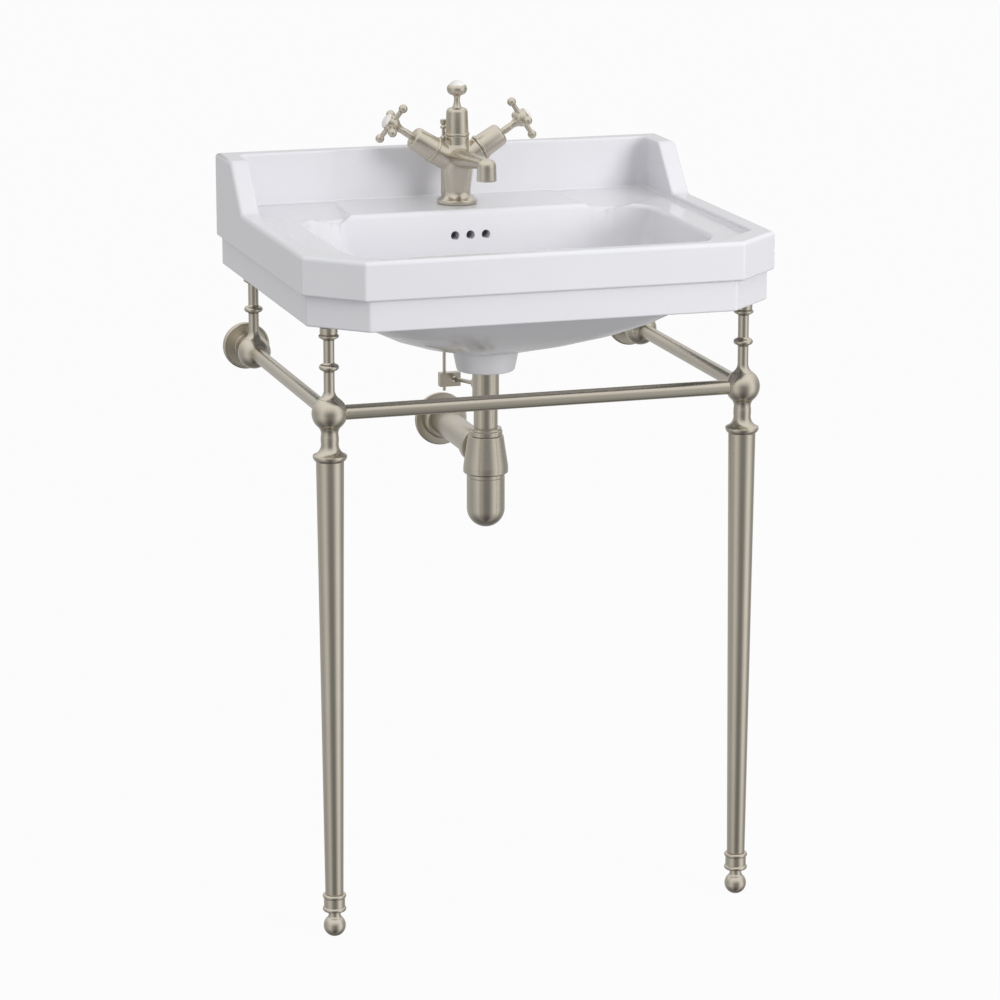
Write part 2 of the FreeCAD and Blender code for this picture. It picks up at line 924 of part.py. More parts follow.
    # Inside of the overflow duct, and the three holes into it
    overflow_z = deck - s.overflow_drop
    sketch = new_sketch(body, "XY_Plane", duct_floor)
    draw_outline(sketch, rectangle(-duct_half, duct_half, duct_near, duct_far))
    pocket(body, sketch, overflow_z + s.overflow_hole - duct_floor, reverse=True)
    sketch = new_sketch(body, "XY_Plane", duct_floor)
    draw_outline(sketch, rectangle(-passage_half, passage_half, waste_y, duct_far))
    pocket(body, sketch, passage_height, reverse=True)
    sketch = new_sketch(body, "XZ_Plane", -duct_near - s.duct_gap / 2)
    for x in (-s.overflow_pitch, 0, s.overflow_pitch):
        draw_circle(sketch, x, overflow_z, s.overflow_hole / 2)
    pocket(body, sketch, s.duct_gap + s.bowl_wall * 2, reverse=True)

    # Tap hole with a keyhole for the lift rod, and the wall bolt holes
    for x, y, width in ((0, tap_y, s.tap_hole), (rod_x, rod_y, s.rod_hole)):
        sketch = new_sketch(body, "XY_Plane", deck_under)
        draw_circle(sketch, x, y, width / 2)
        pocket(body, sketch, s.deck_thickness * 2, reverse=True)
    sketch = new_sketch(body, "XZ_Plane", -wall)
    for x in (-s.wall_bolt_spacing / 2, s.wall_bolt_spacing / 2):
        draw_circle(sketch, x, underside + s.wall_bolt_rise, s.wall_bolt_hole / 2)
    pocket(body, sketch, s.china_wall * 2, reverse=True)
    return keep("basin", body)


def at_axis(body, y=waste_y):
    place(body, 0, y)
    return body


def ring(name, inner, outer, low, high):
    return turned(name, [(inner, low), (outer, low), (outer, high), (inner, high)])


def foot(side):
    neck = s.foot_neck / 2
    stud = s.foot_stud / 2
    stud_end = leg_bottom + s.stud_in_leg
    body = turned(f"foot_{side}", [
        (0, 0),
        (across_ball(s.foot_ball, s.foot_centre), 0, s.foot_ball / 2),
        (neck, s.foot_centre + across_ball(s.foot_ball, neck)),
        (neck, s.foot_height),
        (stud, s.foot_height),
        (stud, stud_end),
        (0, stud_end),
    ])
    place(body, sides[side] * leg_x, leg_y)
    return keep(f"foot_{side}", body)


def leg_collar(side):
    bore = s.foot_stud / 2 + s.slip
    waist = s.collar_waist / 2
    body = turned(f"leg_collar_{side}", [
        (bore, s.foot_height),
        (waist, s.foot_height, s.bead_radius),
        (waist, s.foot_height + s.collar_bead),
        (waist, leg_bottom - s.collar_bead, s.bead_radius),
        (waist, leg_bottom),
        (bore, leg_bottom),
    ])
    place(body, sides[side] * leg_x, leg_y)
    return body


def leg(side):
    bore = s.foot_stud / 2 + s.slip
    foot_end = s.leg_foot_end / 2
    head_end = s.leg_head_end / 2
    socket = head_end - s.leg_wall
    socket_floor = leg_top - s.leg_socket
    hollow_floor = leg_bottom + s.stud_in_leg + s.leg_wall
    body = turned(f"leg_{side}", [
        (bore, leg_bottom),
        (foot_end, leg_bottom),
        (head_end, leg_top),
        (socket, leg_top),
        (socket, socket_floor),
        (socket - s.leg_wall, socket_floor),
        (foot_end - s.leg_wall, hollow_floor),
        (bore, hollow_floor),
    ])
    place(body, sides[side] * leg_x, leg_y)
    return keep(f"leg_{side}", body)


def leg_cap(side):
    socket_peg = s.leg_head_end / 2 - s.leg_wall - s.slip
    flange = s.cap_flange / 2
    flange_top = leg_top + s.cap_flange_height
    peg = s.cap_spigot / 2
    peg_end = s.rail_height - s.hub_core
    body = turned(f"leg_cap_{side}", [
        (0, leg_top - s.leg_socket),
        (socket_peg, leg_top - s.leg_socket),
        (socket_peg, leg_top),
        (flange, leg_top, s.cap_flange_round),
        (flange, flange_top),
        (s.cap_step / 2, flange_top, -s.cap_cove),
        (s.cap_neck / 2, flange_top + s.cap_neck_rise),
        (s.hub_flat / 2, hub_seat),
        (peg, hub_seat),
        (peg, peg_end),
        (0, peg_end),
    ])
    place(body, sides[side] * leg_x, leg_y)
    return body


def rail_socket(body, role, direction):
    # A blind socket for a rail's peg, with a flat around its mouth
    cuts = ((s.hub_core, s.rail_spigot / 2 + s.slip), (s.spot_face, s.rail_bar / 2 + s.slip))
    normal = 1 if role == "YZ_Plane" else -1
    for distance, radius in cuts:
        sketch = new_sketch(body, role, distance * direction * normal)
        draw_circle(sketch, 0, s.rail_height, radius)
        pocket(body, sketch, s.hub_ball, reverse=direction == normal)


def hub(name, side, at_front):
    stud = s.rail_spigot / 2 + s.slip
    peg = s.cap_spigot / 2 + s.slip
    ball = s.hub_ball / 2
    high = s.rail_height + s.hub_core
    low = s.rail_height - s.hub_core
    head = [(across_ball(s.hub_ball, s.hub_top), hub_head), (stud, hub_head), (stud, high), (0, high)]
    if at_front:
        outline = [(0, low), (peg, low), (peg, hub_seat), (s.hub_flat / 2, hub_seat, ball)] + head
    else:
        outline = [(0, s.rail_height - ball, ball)] + head
    body = turned(name, outline)
    if at_front:
        rail_socket(body, "YZ_Plane", -sides[side])
        rail_socket(body, "XZ_Plane", 1)
    else:
        rail_socket(body, "XZ_Plane", 1)
        rail_socket(body, "XZ_Plane", -1)
    place(body, sides[side] * leg_x, leg_y if at_front else hub_y)
    return keep(name, body)


def post(name, x, y):
    stud = s.rail_spigot / 2
    bar = s.post_bar / 2
    stud_end = s.rail_height + s.hub_core
    bar_end = cup_top - s.cup_cap
    body = turned(name, [
        (0, stud_end),
        (stud, stud_end),
        (stud, hub_head),
        (across_ball(s.hub_ball, s.hub_top), hub_head, -s.post_cove),
        (bar, hub_head + s.post_flare),
        (bar, bar_end),
        (0, bar_end),
    ])
    place(body, x, y)
    return body


def lock_ring(name, x, y):
    low = hub_head + s.post_ring_rise
    high = low + s.post_ring_height
    bore = s.post_bar / 2 + s.slip
    edge = s.post_ring / 2
    body = turned(name, [(bore, low), (edge, low, s.post_ring_round), (edge, high), (bore, high)])
    place(body, x, y)
    return body


def cup(name, x, y):
    bore = s.post_bar / 2 + s.slip
    edge = s.cup_width / 2
    groove = cup_bottom + s.cup_groove
    roof = cup_top - s.cup_cap
    body = turned(name, [
        (bore, cup_bottom),
        (edge, cup_bottom),
        (edge, groove - s.cup_groove_deep),
        (edge - s.cup_groove_deep, groove),
        (edge, groove + s.cup_groove_deep),
        (edge, cup_top),
        (0, cup_top),
        (0, roof),
        (bore, roof),
    ])
    place(body, x, y)
    return body


def post_pad(name, x, y):
    target = cylinder(name, s.pad_width / 2, s.pad_thickness)
    place(target, x, y, cup_top)
    return target


def rail(label, half_span):
    peg = s.rail_spigot / 2
    bar = s.rail_bar / 2
    end = half_span - s.hub_core
    shoulder = half_span - s.spot_face
    body = turned(label, [
        (0, -end),
        (peg, -end),
        (peg, -shoulder),
        (bar, -shoulder),
        (bar, shoulder),
        (peg, shoulder),
        (peg, end),
        (0, end),
    ])
    return keep(label, body)


def wall_flange(side):
    peg = s.rail_spigot / 2
    bar = s.rail_bar / 2
    disc = s.wall_flange / 2
    edge = s.hub_wall - s.wall_flange_edge
    hole = s.hanger_hole / 2
    hole_floor = s.hub_wall - s.hanger_depth
    body = turned(f"wall_flange_{side}", [
        (0, s.hub_core),
        (peg, s.hub_core),
        (peg, s.spot_face),
        (bar, s.spot_face),
        (bar, edge - s.wall_flange_dome, s.wall_flange_crown),
        (disc, edge),
        (disc, s.hub_wall),
        (hole, s.hub_wall),
        (hole, hole_floor),
        (0, hole_floor),
    ])
    place(body, sides[side] * leg_x, hub_y, s.rail_height, -along_x, 90)
    return keep(f"wall_flange_{side}", body)


def stand():
    for side in sides:
        foot(side)
        leg(side)
        hub(f"front_hub_{side}", side, True)
        hub(f"back_hub_{side}", side, False)
        wall_flange(side)
    grouped("leg_collars", [leg_collar(side) for side in sides])
    grouped("leg_caps", [leg_cap(side) for side in sides])
    rows = {"front": leg_y, "back": hub_y}
    corners = {f"{row}_{side}": (sides[side] * leg_x, rows[row]) for row in rows for side in sides}
    for row in rows:
        grouped(f"{row}_posts", [post(f"post_{row}_{side}", *corners[f"{row}_{side}"]) for side in sides])
    grouped("post_lock_rings", [lock_ring(f"lock_ring_{key}", x, y) for key, (x, y) in corners.items()])
    grouped("post_cups", [cup(f"cup_{key}", x, y) for key, (x, y) in corners.items()])
    grouped("post_pads", [post_pad(f"pad_{key}", x, y) for key, (x, y) in corners.items()])
    place(rail("front_rail", leg_x), 0, leg_y, s.rail_height, along_y, 90)
    for side in sides:
        side_rail = rail(f"side_rail_{side}", (hub_y - leg_y) / 2)
        place(side_rail, sides[side] * leg_x, (hub_y + leg_y) / 2, s.rail_height, along_x, 90)


def along_arm(target, side):
    # Lays a piece turned about its own axis along the left or right arm of the tap
    place(target, 0, tap_y, arm_centre, along_y * sides[side], 90 - s.arm_tilt)
    return target


def drilled(name, radius, length, x, y, z, axis=along_z, angle=0):
    target = cylinder(name, radius, length)
    place(target, x, y, z, axis, angle)
    return target


def plain_bar(name, radius, low, high):
    return turned(name, [(0, low), (radius, low), (radius, high), (0, high)])


def tap_body():
    base = s.tap_base / 2
    edge = s.tap_base_edge / 2
    core = at_axis(turned("tap_core", [
        (0, tap_seat),
        (base, tap_seat),
        (base, tap_seat + edge, edge),
        (base - edge, tap_seat + edge * 2, -s.tap_cove),
        (s.tap_waist / 2, tap_seat + s.tap_waist_rise),
        (s.tap_belly / 2, tap_seat + s.tap_belly_rise, s.tap_shoulder),
        (s.tap_neck / 2, tap_seat + s.tap_neck_rise),
        (s.tap_neck / 2, tower_seat),
        (0, tower_seat),
    ]), tap_y)
    arms = [along_arm(cylinder(f"tap_arm_{side}", s.arm_width / 2, s.arm_reach), side) for side in sides]
    spout_socket = new_body("spout_socket")
    sketch = new_sketch(spout_socket, "XZ_Plane")
    draw_outline(sketch, stadium(s.spout_root_width, s.spout_root_height, spout_z))
    pad(spout_socket, sketch, s.spout_root)
    at_axis(spout_socket, tap_y)
    boss = s.rod_boss / 2
    rod_boss = turned("rod_boss", [
        (0, tap_seat),
        (boss, tap_seat),
        (boss, rod_boss_top - boss, boss),
        (0, rod_boss_top),
    ])
    place(rod_boss, rod_x, rod_y)
    outside = fused("tap_outside", [core] + arms + [spout_socket, rod_boss])

    # Bores for the rod, the stud, the spout's spigot and the water
    inlet_y = tap_y - s.inlet_front
    mix_y = tap_y - s.mix_front
    mix_z = arm_centre + s.mix_rise
    stud_y = tap_y + s.tap_stud_back
    rod_bore = s.rod_width / 2 + s.running
    spigot_bore = s.spout_spigot / 2 + s.slip
    valve_floor = s.arm_reach - s.valve_seat
    valve_bore = s.valve_width / 2 + s.slip
    bores = [
        drilled("rod_bore", rod_bore, s.rod_boss_rise, rod_x, rod_y, tap_seat),
        drilled("stud_hole", s.tap_stud / 2 + s.slip, s.tap_stud_grip, 0, stud_y, tap_seat),
        drilled("spout_bore", spigot_bore, s.spout_root - s.mix_front, 0, mix_y, spout_z, along_x, 90),
        drilled("mixing_way", s.mix_way / 2, valve_floor * 2, -valve_floor, mix_y, mix_z, along_y, 90),
    ]
    for side, way in sides.items():
        inlet_x = way * s.inlet_apart / 2
        rise = s.arm_rise + s.waterway
        bores += [
            drilled(f"inlet_thread_{side}", s.inlet_thread / 2, s.inlet_deep, inlet_x, inlet_y, tap_seat),
            drilled(f"inlet_way_{side}", s.waterway / 2, rise, inlet_x, inlet_y, tap_seat),
            along_arm(plain_bar(f"valve_feed_{side}", s.waterway / 2, s.waterway, s.arm_reach), side),
            along_arm(plain_bar(f"valve_bore_{side}", valve_bore, valve_floor, bonnet_end), side),
        ]
    keep("tap_body", cut("tap_body", outside, fused("tap_bores", bores)))


def spout():
    # A flattened arm that narrows towards an upright nose
    body = new_body("spout")
    tip_z = spout_z + s.spout_tip_lift
    sections = []
    for place_y, width, height, level in (
        (s.spout_root, s.spout_root_width, s.spout_root_height, spout_z),
        (s.spout_reach, s.spout_tip_width, s.spout_tip_height, tip_z),
    ):
        sketch = new_sketch(body, "XZ_Plane", place_y)
        draw_outline(sketch, stadium(width, height, level))
        sections.append(sketch)
    loft(body, "AdditiveLoft", sections)
    nose = s.nose_width / 2
    nose_low = spout_z - s.nose_bottom
    nose_high = spout_z + s.nose_top
    sketch = new_sketch(body, "XZ_Plane", s.spout_reach)
    draw_outline(sketch, [
        (0, nose_low),
        (nose, nose_low),
        (nose, nose_high - s.nose_round, s.nose_round),
        (nose - s.nose_round, nose_high),
        (0, nose_high),
    ])
    revolve(body, sketch)
    sketch = new_sketch(body, "XZ_Plane", s.spout_root)
    draw_circle(sketch, 0, spout_z, s.spout_spigot / 2)
    pad(body, sketch, s.spout_spigot_length, reverse=True)

    # Waterway through the arm, and the nose's seat for the aerator
    way = s.waterway / 2
    sketch = new_sketch(body, "XZ_Plane", s.spout_root - s.spout_spigot_length)
    draw_circle(sketch, 0, spout_z, way)
    pocket(body, sketch, s.spout_spigot_length, reverse=True)
    sections = []
    for place_y, level in ((s.spout_root, spout_z), (s.spout_reach, tip_z)):
        sketch = new_sketch(body, "XZ_Plane", place_y)
        draw_circle(sketch, 0, level, way)
        sections.append(sketch)
    loft(body, "SubtractiveLoft", sections)
    aerator_deep = s.aerator_height + s.aerator_inset
    for radius, depth in ((s.aerator_width / 2, aerator_deep), (way, tip_z - nose_low)):
        sketch = new_sketch(body, "XY_Plane", nose_low)
        draw_circle(sketch, 0, -s.spout_reach, radius)
        pocket(body, sketch, depth, reverse=True)
    keep("spout", at_axis(body, tap_y))

    # Aerator cup pressed into the nose
    outer = s.aerator_width / 2 - s.slip
    inner = outer - s.aerator_wall
    low = nose_low + s.aerator_inset
    high = low + s.aerator_height
    plate = low + s.aerator_height / 2
    aerator = turned("aerator", [
        (inner, low),
        (outer, low),
        (outer, high),
        (way, high),
        (way, plate + s.aerator_wall),
        (0, plate + s.aerator_wall),
        (0, plate),
        (inner, plate),
    ])
    keep("aerator", at_axis(aerator, tap_y - s.spout_reach))


def bonnet(name):
    bore = s.valve_width / 2 + s.slip
    hole = s.spindle / 2 + s.running
    ring_end = s.arm_reach + s.bonnet_ring_height
    top = s.bonnet_top / 2
    roof = bonnet_end - s.bonnet_cap
    return turned(name, [
        (bore, s.arm_reach),
        (s.bonnet_ring / 2, s.arm_reach),
        (s.bonnet_ring / 2, ring_end),
        (s.bonnet_width / 2, ring_end),
        (top, bonnet_end - s.bonnet_shoulder, s.bonnet_shoulder),
        (top - s.bonnet_shoulder, bonnet_end),
        (hole, bonnet_end),
        (hole, roof),
        (bore, roof),
    ])


def handle(name, turn):
    # A flared stem and hub with four ball-ended spokes
    bore = s.spindle / 2 + s.slip
    hub_low = handle_start + s.stem_length
    flare = s.handle_hub / 2 - s.hub_edge
    body = turned(name, [
        (bore, handle_start),
        (s.stem_neck / 2, handle_start, -s.stem_cove),
        (flare, hub_low),
        (s.handle_hub / 2, hub_low + s.hub_edge),
        (s.handle_hub / 2, index_seat - s.hub_edge),
        (flare, index_seat),
        (0, index_seat),
        (0, handle_start + s.spindle_grip),
        (bore, handle_start + s.spindle_grip),
    ])
    bar = s.spoke_bar / 2
    ball = s.spoke_ball / 2
    sketch = new_sketch(body, "XY_Plane", spoke_place)
    base = sketch.AttachmentOffset.Base
    sketch.AttachmentOffset = FreeCAD.Placement(base, FreeCAD.Rotation(along_z, turn.number))
    bind(sketch, "AttachmentOffset.Rotation.Angle", turn)
    draw_outline(sketch, [
        (bore, 0),
        (s.spoke_reach + ball, 0, ball),
        (s.spoke_reach - across_ball(s.spoke_ball, bar), bar),
        (bore, bar),
    ])
    spoke = revolve(body, sketch, "H_Axis")
    upright = [feature for feature in body.Origin.OriginFeatures if feature.Role == "Z_Axis"][0]
    spokes = body.newObject("PartDesign::PolarPattern", name + "_spokes")
    spokes.Originals = [spoke]
    spokes.Axis = (upright, [""])
    spokes.Angle = 360
    spokes.Occurrences = spoke_count
    body.Tip = spokes
    doc.recompute()
    return body


def valve_pieces(side, water):
    shaft = s.spindle / 2
    bore = shaft + s.running
    valve_low = s.arm_reach - s.valve_seat
    valve_high = bonnet_end - s.bonnet_cap
    shaft_low = valve_low + s.valve_floor
    cartridge = turned(f"cartridge_{water}", [
        (s.valve_port / 2, valve_low),
        (s.valve_width / 2, valve_low),
        (s.valve_width / 2, valve_high),
        (bore, valve_high),
        (bore, shaft_low),
        (s.valve_port / 2, shaft_low),
    ])
    spindle = plain_bar(f"spindle_{water}", shaft, shaft_low + s.spindle_gap, handle_start + s.spindle_grip)
    index_edge = index_seat + s.index_edge
    index = turned(f"index_{water}", [
        (0, index_seat),
        (s.index_width / 2, index_seat),
        (s.index_width / 2, index_edge, dome(s.index_width / 2, s.index_height - s.index_edge)),
        (0, index_seat + s.index_height),
    ])
    turn = s.left_handle_turn if side == "left" else as_size(0)
    for piece in (bonnet(f"bonnet_{water}"), cartridge, spindle, handle(f"handle_{water}", turn), index):
        keep(piece.Label, along_arm(piece, side))


def tap():
    rod_clear = s.rod_hole / 2
    gasket_holes = fused("gasket_holes", [
        drilled("gasket_bore", s.tap_hole / 2, s.gasket, 0, tap_y, deck),
        drilled("gasket_rod_hole", rod_clear, s.gasket, rod_x, rod_y, deck),
    ])
    disc = drilled("gasket_disc", s.gasket_width / 2, s.gasket, 0, tap_y, deck)
    keep("tap_gasket", cut("tap_gasket", disc, gasket_holes))
    tap_body()
    spout()
    valve_pieces("left", "hot")
    valve_pieces("right", "cold")

    # Tower on top, with its finial and porcelain knob
    tower = keep("tower", bonnet("tower"))
    place(tower, 0, tap_y, tower_seat - s.arm_reach)
    tower_top = tower_seat + s.bonnet_height
    cup_low = tower_top + s.finial_stem
    cup_high = cup_low + s.finial_cup_height
    peg = s.spindle / 2
    finial = turned("finial", [
        (0, tower_top - s.bonnet_cap),
        (peg, tower_top - s.bonnet_cap),
        (peg, tower_top),
        (s.finial_base / 2, tower_top, -s.finial_cove),
        (s.finial_waist / 2, tower_top + s.finial_stem / 2, -s.finial_cove),
        (s.finial_cup_root / 2, cup_low, s.finial_cup_round),
        (s.finial_cup / 2, cup_high),
        (0, cup_high),
    ])
    keep("finial", at_axis(finial, tap_y))
    knob = turned("finial_knob", [
        (0, cup_high),
        (s.finial_knob / 2, cup_high, dome(s.finial_knob / 2, s.finial_dome)),
        (0, cup_high + s.finial_dome),
    ])
    keep("finial_knob", at_axis(knob, tap_y))

    # Fixing under the deck: stud, horseshoe plate and nut
    stud = s.tap_stud / 2
    stud_y = tap_y + s.tap_stud_back
    stud_low = deck_under - s.tap_stud_drop
    plate_low = deck_under - s.clamp_thickness
    keep("tap_stud", drilled("tap_stud", stud, tap_seat + s.tap_stud_grip - stud_low, 0, stud_y, stud_low))
    plate = drilled("clamp_disc", s.clamp_width / 2, s.clamp_thickness, 0, tap_y, plate_low)
    slot = box("clamp_slot", s.clamp_slot, s.clamp_width, s.clamp_thickness)
    place(slot, -s.clamp_slot / 2, tap_y - s.clamp_width, plate_low)
    openings = fused("clamp_openings", [
        slot,
        drilled("clamp_stud_hole", stud + s.slip, s.clamp_thickness, 0, stud_y, plate_low),
        drilled("clamp_rod_hole", rod_clear, s.clamp_thickness, rod_x, rod_y, plate_low),
    ])
    keep("clamp_plate", cut("clamp_plate", plate, openings))
    nut = new_body("tap_nut")
    sketch = new_sketch(nut, "XY_Plane", plate_low - s.tap_nut_height)
    draw_outline(sketch, hexagon(s.tap_nut_width))
    draw_circle(sketch, 0, 0, stud + s.slip)
    pad(nut, sketch, s.tap_nut_height)
    keep("tap_nut", at_axis(nut, stud_y))


def popup_waste():
    # Lift rod through the back of the tap, its knob and the block that carries the lever
    rod = s.rod_width / 2
    knob_low = rod_boss_top + s.rod_knob_gap
    rod_low = link_z - s.rod_tail
    rod_high = knob_low + s.rod_grip
    keep("lift_rod", drilled("lift_rod", rod, rod_high - rod_low, rod_x, rod_y, rod_low))
    neck_low = knob_low + s.rod_knob_disc * 2
    knob_high = knob_low + s.rod_knob_height
    knob_neck = s.rod_knob_neck / 2
    knob = turned("lift_knob", [
        (rod + s.slip, knob_low),
        (s.rod_knob / 2, knob_low),
        (s.rod_knob / 2, knob_low + s.rod_knob_disc),
        (knob_neck, neck_low, dome(knob_neck, knob_high - neck_low)),
        (0, knob_high),
        (0, rod_high),
        (rod + s.slip, rod_high),
    ])
    place(knob, rod_x, rod_y)
    keep("lift_knob", knob)
    block_low = link_z - s.link_slot_height / 2 - s.link_wall
    block_height = s.link_slot_height + s.link_wall * 2
    block_left = rod_x - rod - s.link_wall
    block_right = s.link_slot_width / 2 + s.link_wall
    block = box("link_block", block_right - block_left, s.link_block, block_height)
    place(block, block_left, rod_y - s.link_block / 2, block_low)
    slot = box("link_slot", s.link_slot_width, s.link_block, s.link_slot_height)
    place(slot, -s.link_slot_width / 2, rod_y - s.link_block / 2, link_z - s.link_slot_height / 2)
    rod_hole = drilled("link_rod_hole", rod + s.slip, block_height, rod_x, rod_y, block_low)
    keep("rod_clamp", cut("rod_clamp", block, fused("link_holes", [slot, rod_hole])))

    # Lever with its pivot ball
    bar = s.lever_width / 2
    ball_half = across_ball(s.lever_ball, bar)
    inner_end = -s.pivot_reach - s.lever_tip
    outer_end = lever_reach + s.lever_tail
    lever = turned("lever", [
        (0, inner_end),
        (bar, inner_end),
        (bar, -ball_half, s.lever_ball / 2),
        (bar, ball_half),
        (bar, outer_end),
        (0, outer_end),
    ])
    place(lever, 0, pivot_y, port_z, -along_x, 90 + s.lever_tilt)
    keep("lever", lever)

    # Waste body clamped to the basin, with its seal and back nut
    flange_top = bowl_floor + s.waste_flange_height
    thread = s.waste_thread / 2
    bore = s.waste_bore / 2
    flange = s.waste_flange / 2
    waste = turned("waste_body", [
        (bore, waste_end),
        (thread, waste_end),
        (thread, bowl_floor),
        (flange, bowl_floor),
        (flange - s.waste_flange_height, flange_top),
        (bore + s.waste_flange_height, flange_top),
        (bore, bowl_floor),
    ])
    sketch = new_sketch(waste, "XZ_Plane")
    draw_circle(sketch, 0, boss_end + s.nut_recess_deep + s.duct_wall + s.waste_slot / 2, s.waste_slot / 2)
    pocket(waste, sketch, s.waste_thread)
    keep("waste_body", at_axis(waste))
    seal_top = boss_end + s.nut_recess_deep
    seal_low = seal_top - s.waste_seal
    nut = s.waste_nut_width / 2
    keep("waste_seal", at_axis(ring("waste_seal", thread + s.slip, nut, seal_low, seal_top)))
    nut_low = seal_low - s.waste_nut_height
    keep("waste_nut", at_axis(ring("waste_nut", thread + s.slip, nut, nut_low, seal_low)))

    # Tailpiece with the lever's side port
    collar = bore - s.slip
    tube = s.tail_width / 2
    tail = turned("waste_tail", [
        (0, tail_bottom),
        (tube, tail_bottom),
        (tube, waste_end),
        (collar, waste_end),
        (collar, tail_top),
        (0, tail_top),
    ])
    sketch = new_sketch(tail, "XZ_Plane")
    draw_circle(sketch, 0, port_z, s.port_width / 2)
    pad(tail, sketch, port_end, reverse=True)
    sketch = new_sketch(tail, "XY_Plane", tail_bottom)
    draw_circle(sketch, 0, 0, tube - s.tail_wall)
    pocket(tail, sketch, s.tail_length, reverse=True)
    ball_seat = s.lever_ball / 2 + s.running
    for start, radius in ((0, s.port_bore / 2), (s.pivot_reach - s.port_seat, ball_seat)):
        sketch = new_sketch(tail, "XZ_Plane", -as_size(start))
        draw_circle(sketch, 0, port_z, radius)
        pocket(tail, sketch, port_end - start)
    keep("waste_tail", at_axis(tail))
    ball_nut = ring("ball_nut", s.port_bore / 2, s.port_nut / 2, port_end, port_end + s.port_nut_height)
    place(ball_nut, 0, waste_y, port_z, -along_x, 90)
    keep("ball_nut", ball_nut)

    # Plug on a guided stem, with an eye for the lever's tip
    stem = s.plug_stem / 2
    stem_low = eye_z - s.plug_eye
    plug_seat = flange_top + s.plug_lift
    plug = turned("plug", [
        (0, stem_low),
        (stem, stem_low),
        (stem, plug_seat),
        (s.plug_width / 2, plug_seat),
        (s.plug_width / 2, plug_seat + s.plug_edge, dome(s.plug_width / 2, s.plug_height - s.plug_edge)),
        (0, plug_seat + s.plug_height),
    ])
    fin_half = s.plug_fin / 2
    fin_reach = tube - s.tail_wall - s.plug_fin_gap
    for half_x, half_y in ((fin_half, fin_reach), (fin_reach, fin_half)):
        sketch = new_sketch(plug, "XY_Plane", waste_end - s.plug_fin_height / 2)
        draw_outline(sketch, rectangle(-half_x, half_x, -half_y, half_y))
        pad(plug, sketch, s.plug_fin_height)
    sketch = new_sketch(plug, "XZ_Plane", -s.plug_stem)
    draw_circle(sketch, 0, eye_z, s.plug_eye / 2)
    pocket(plug, sketch, s.plug_stem * 2, reverse=True)
    keep("plug", at_axis(plug))


def along_outlet(target):
    place(target, 0, waste_y, outlet_z, -along_x, 90)
    return target


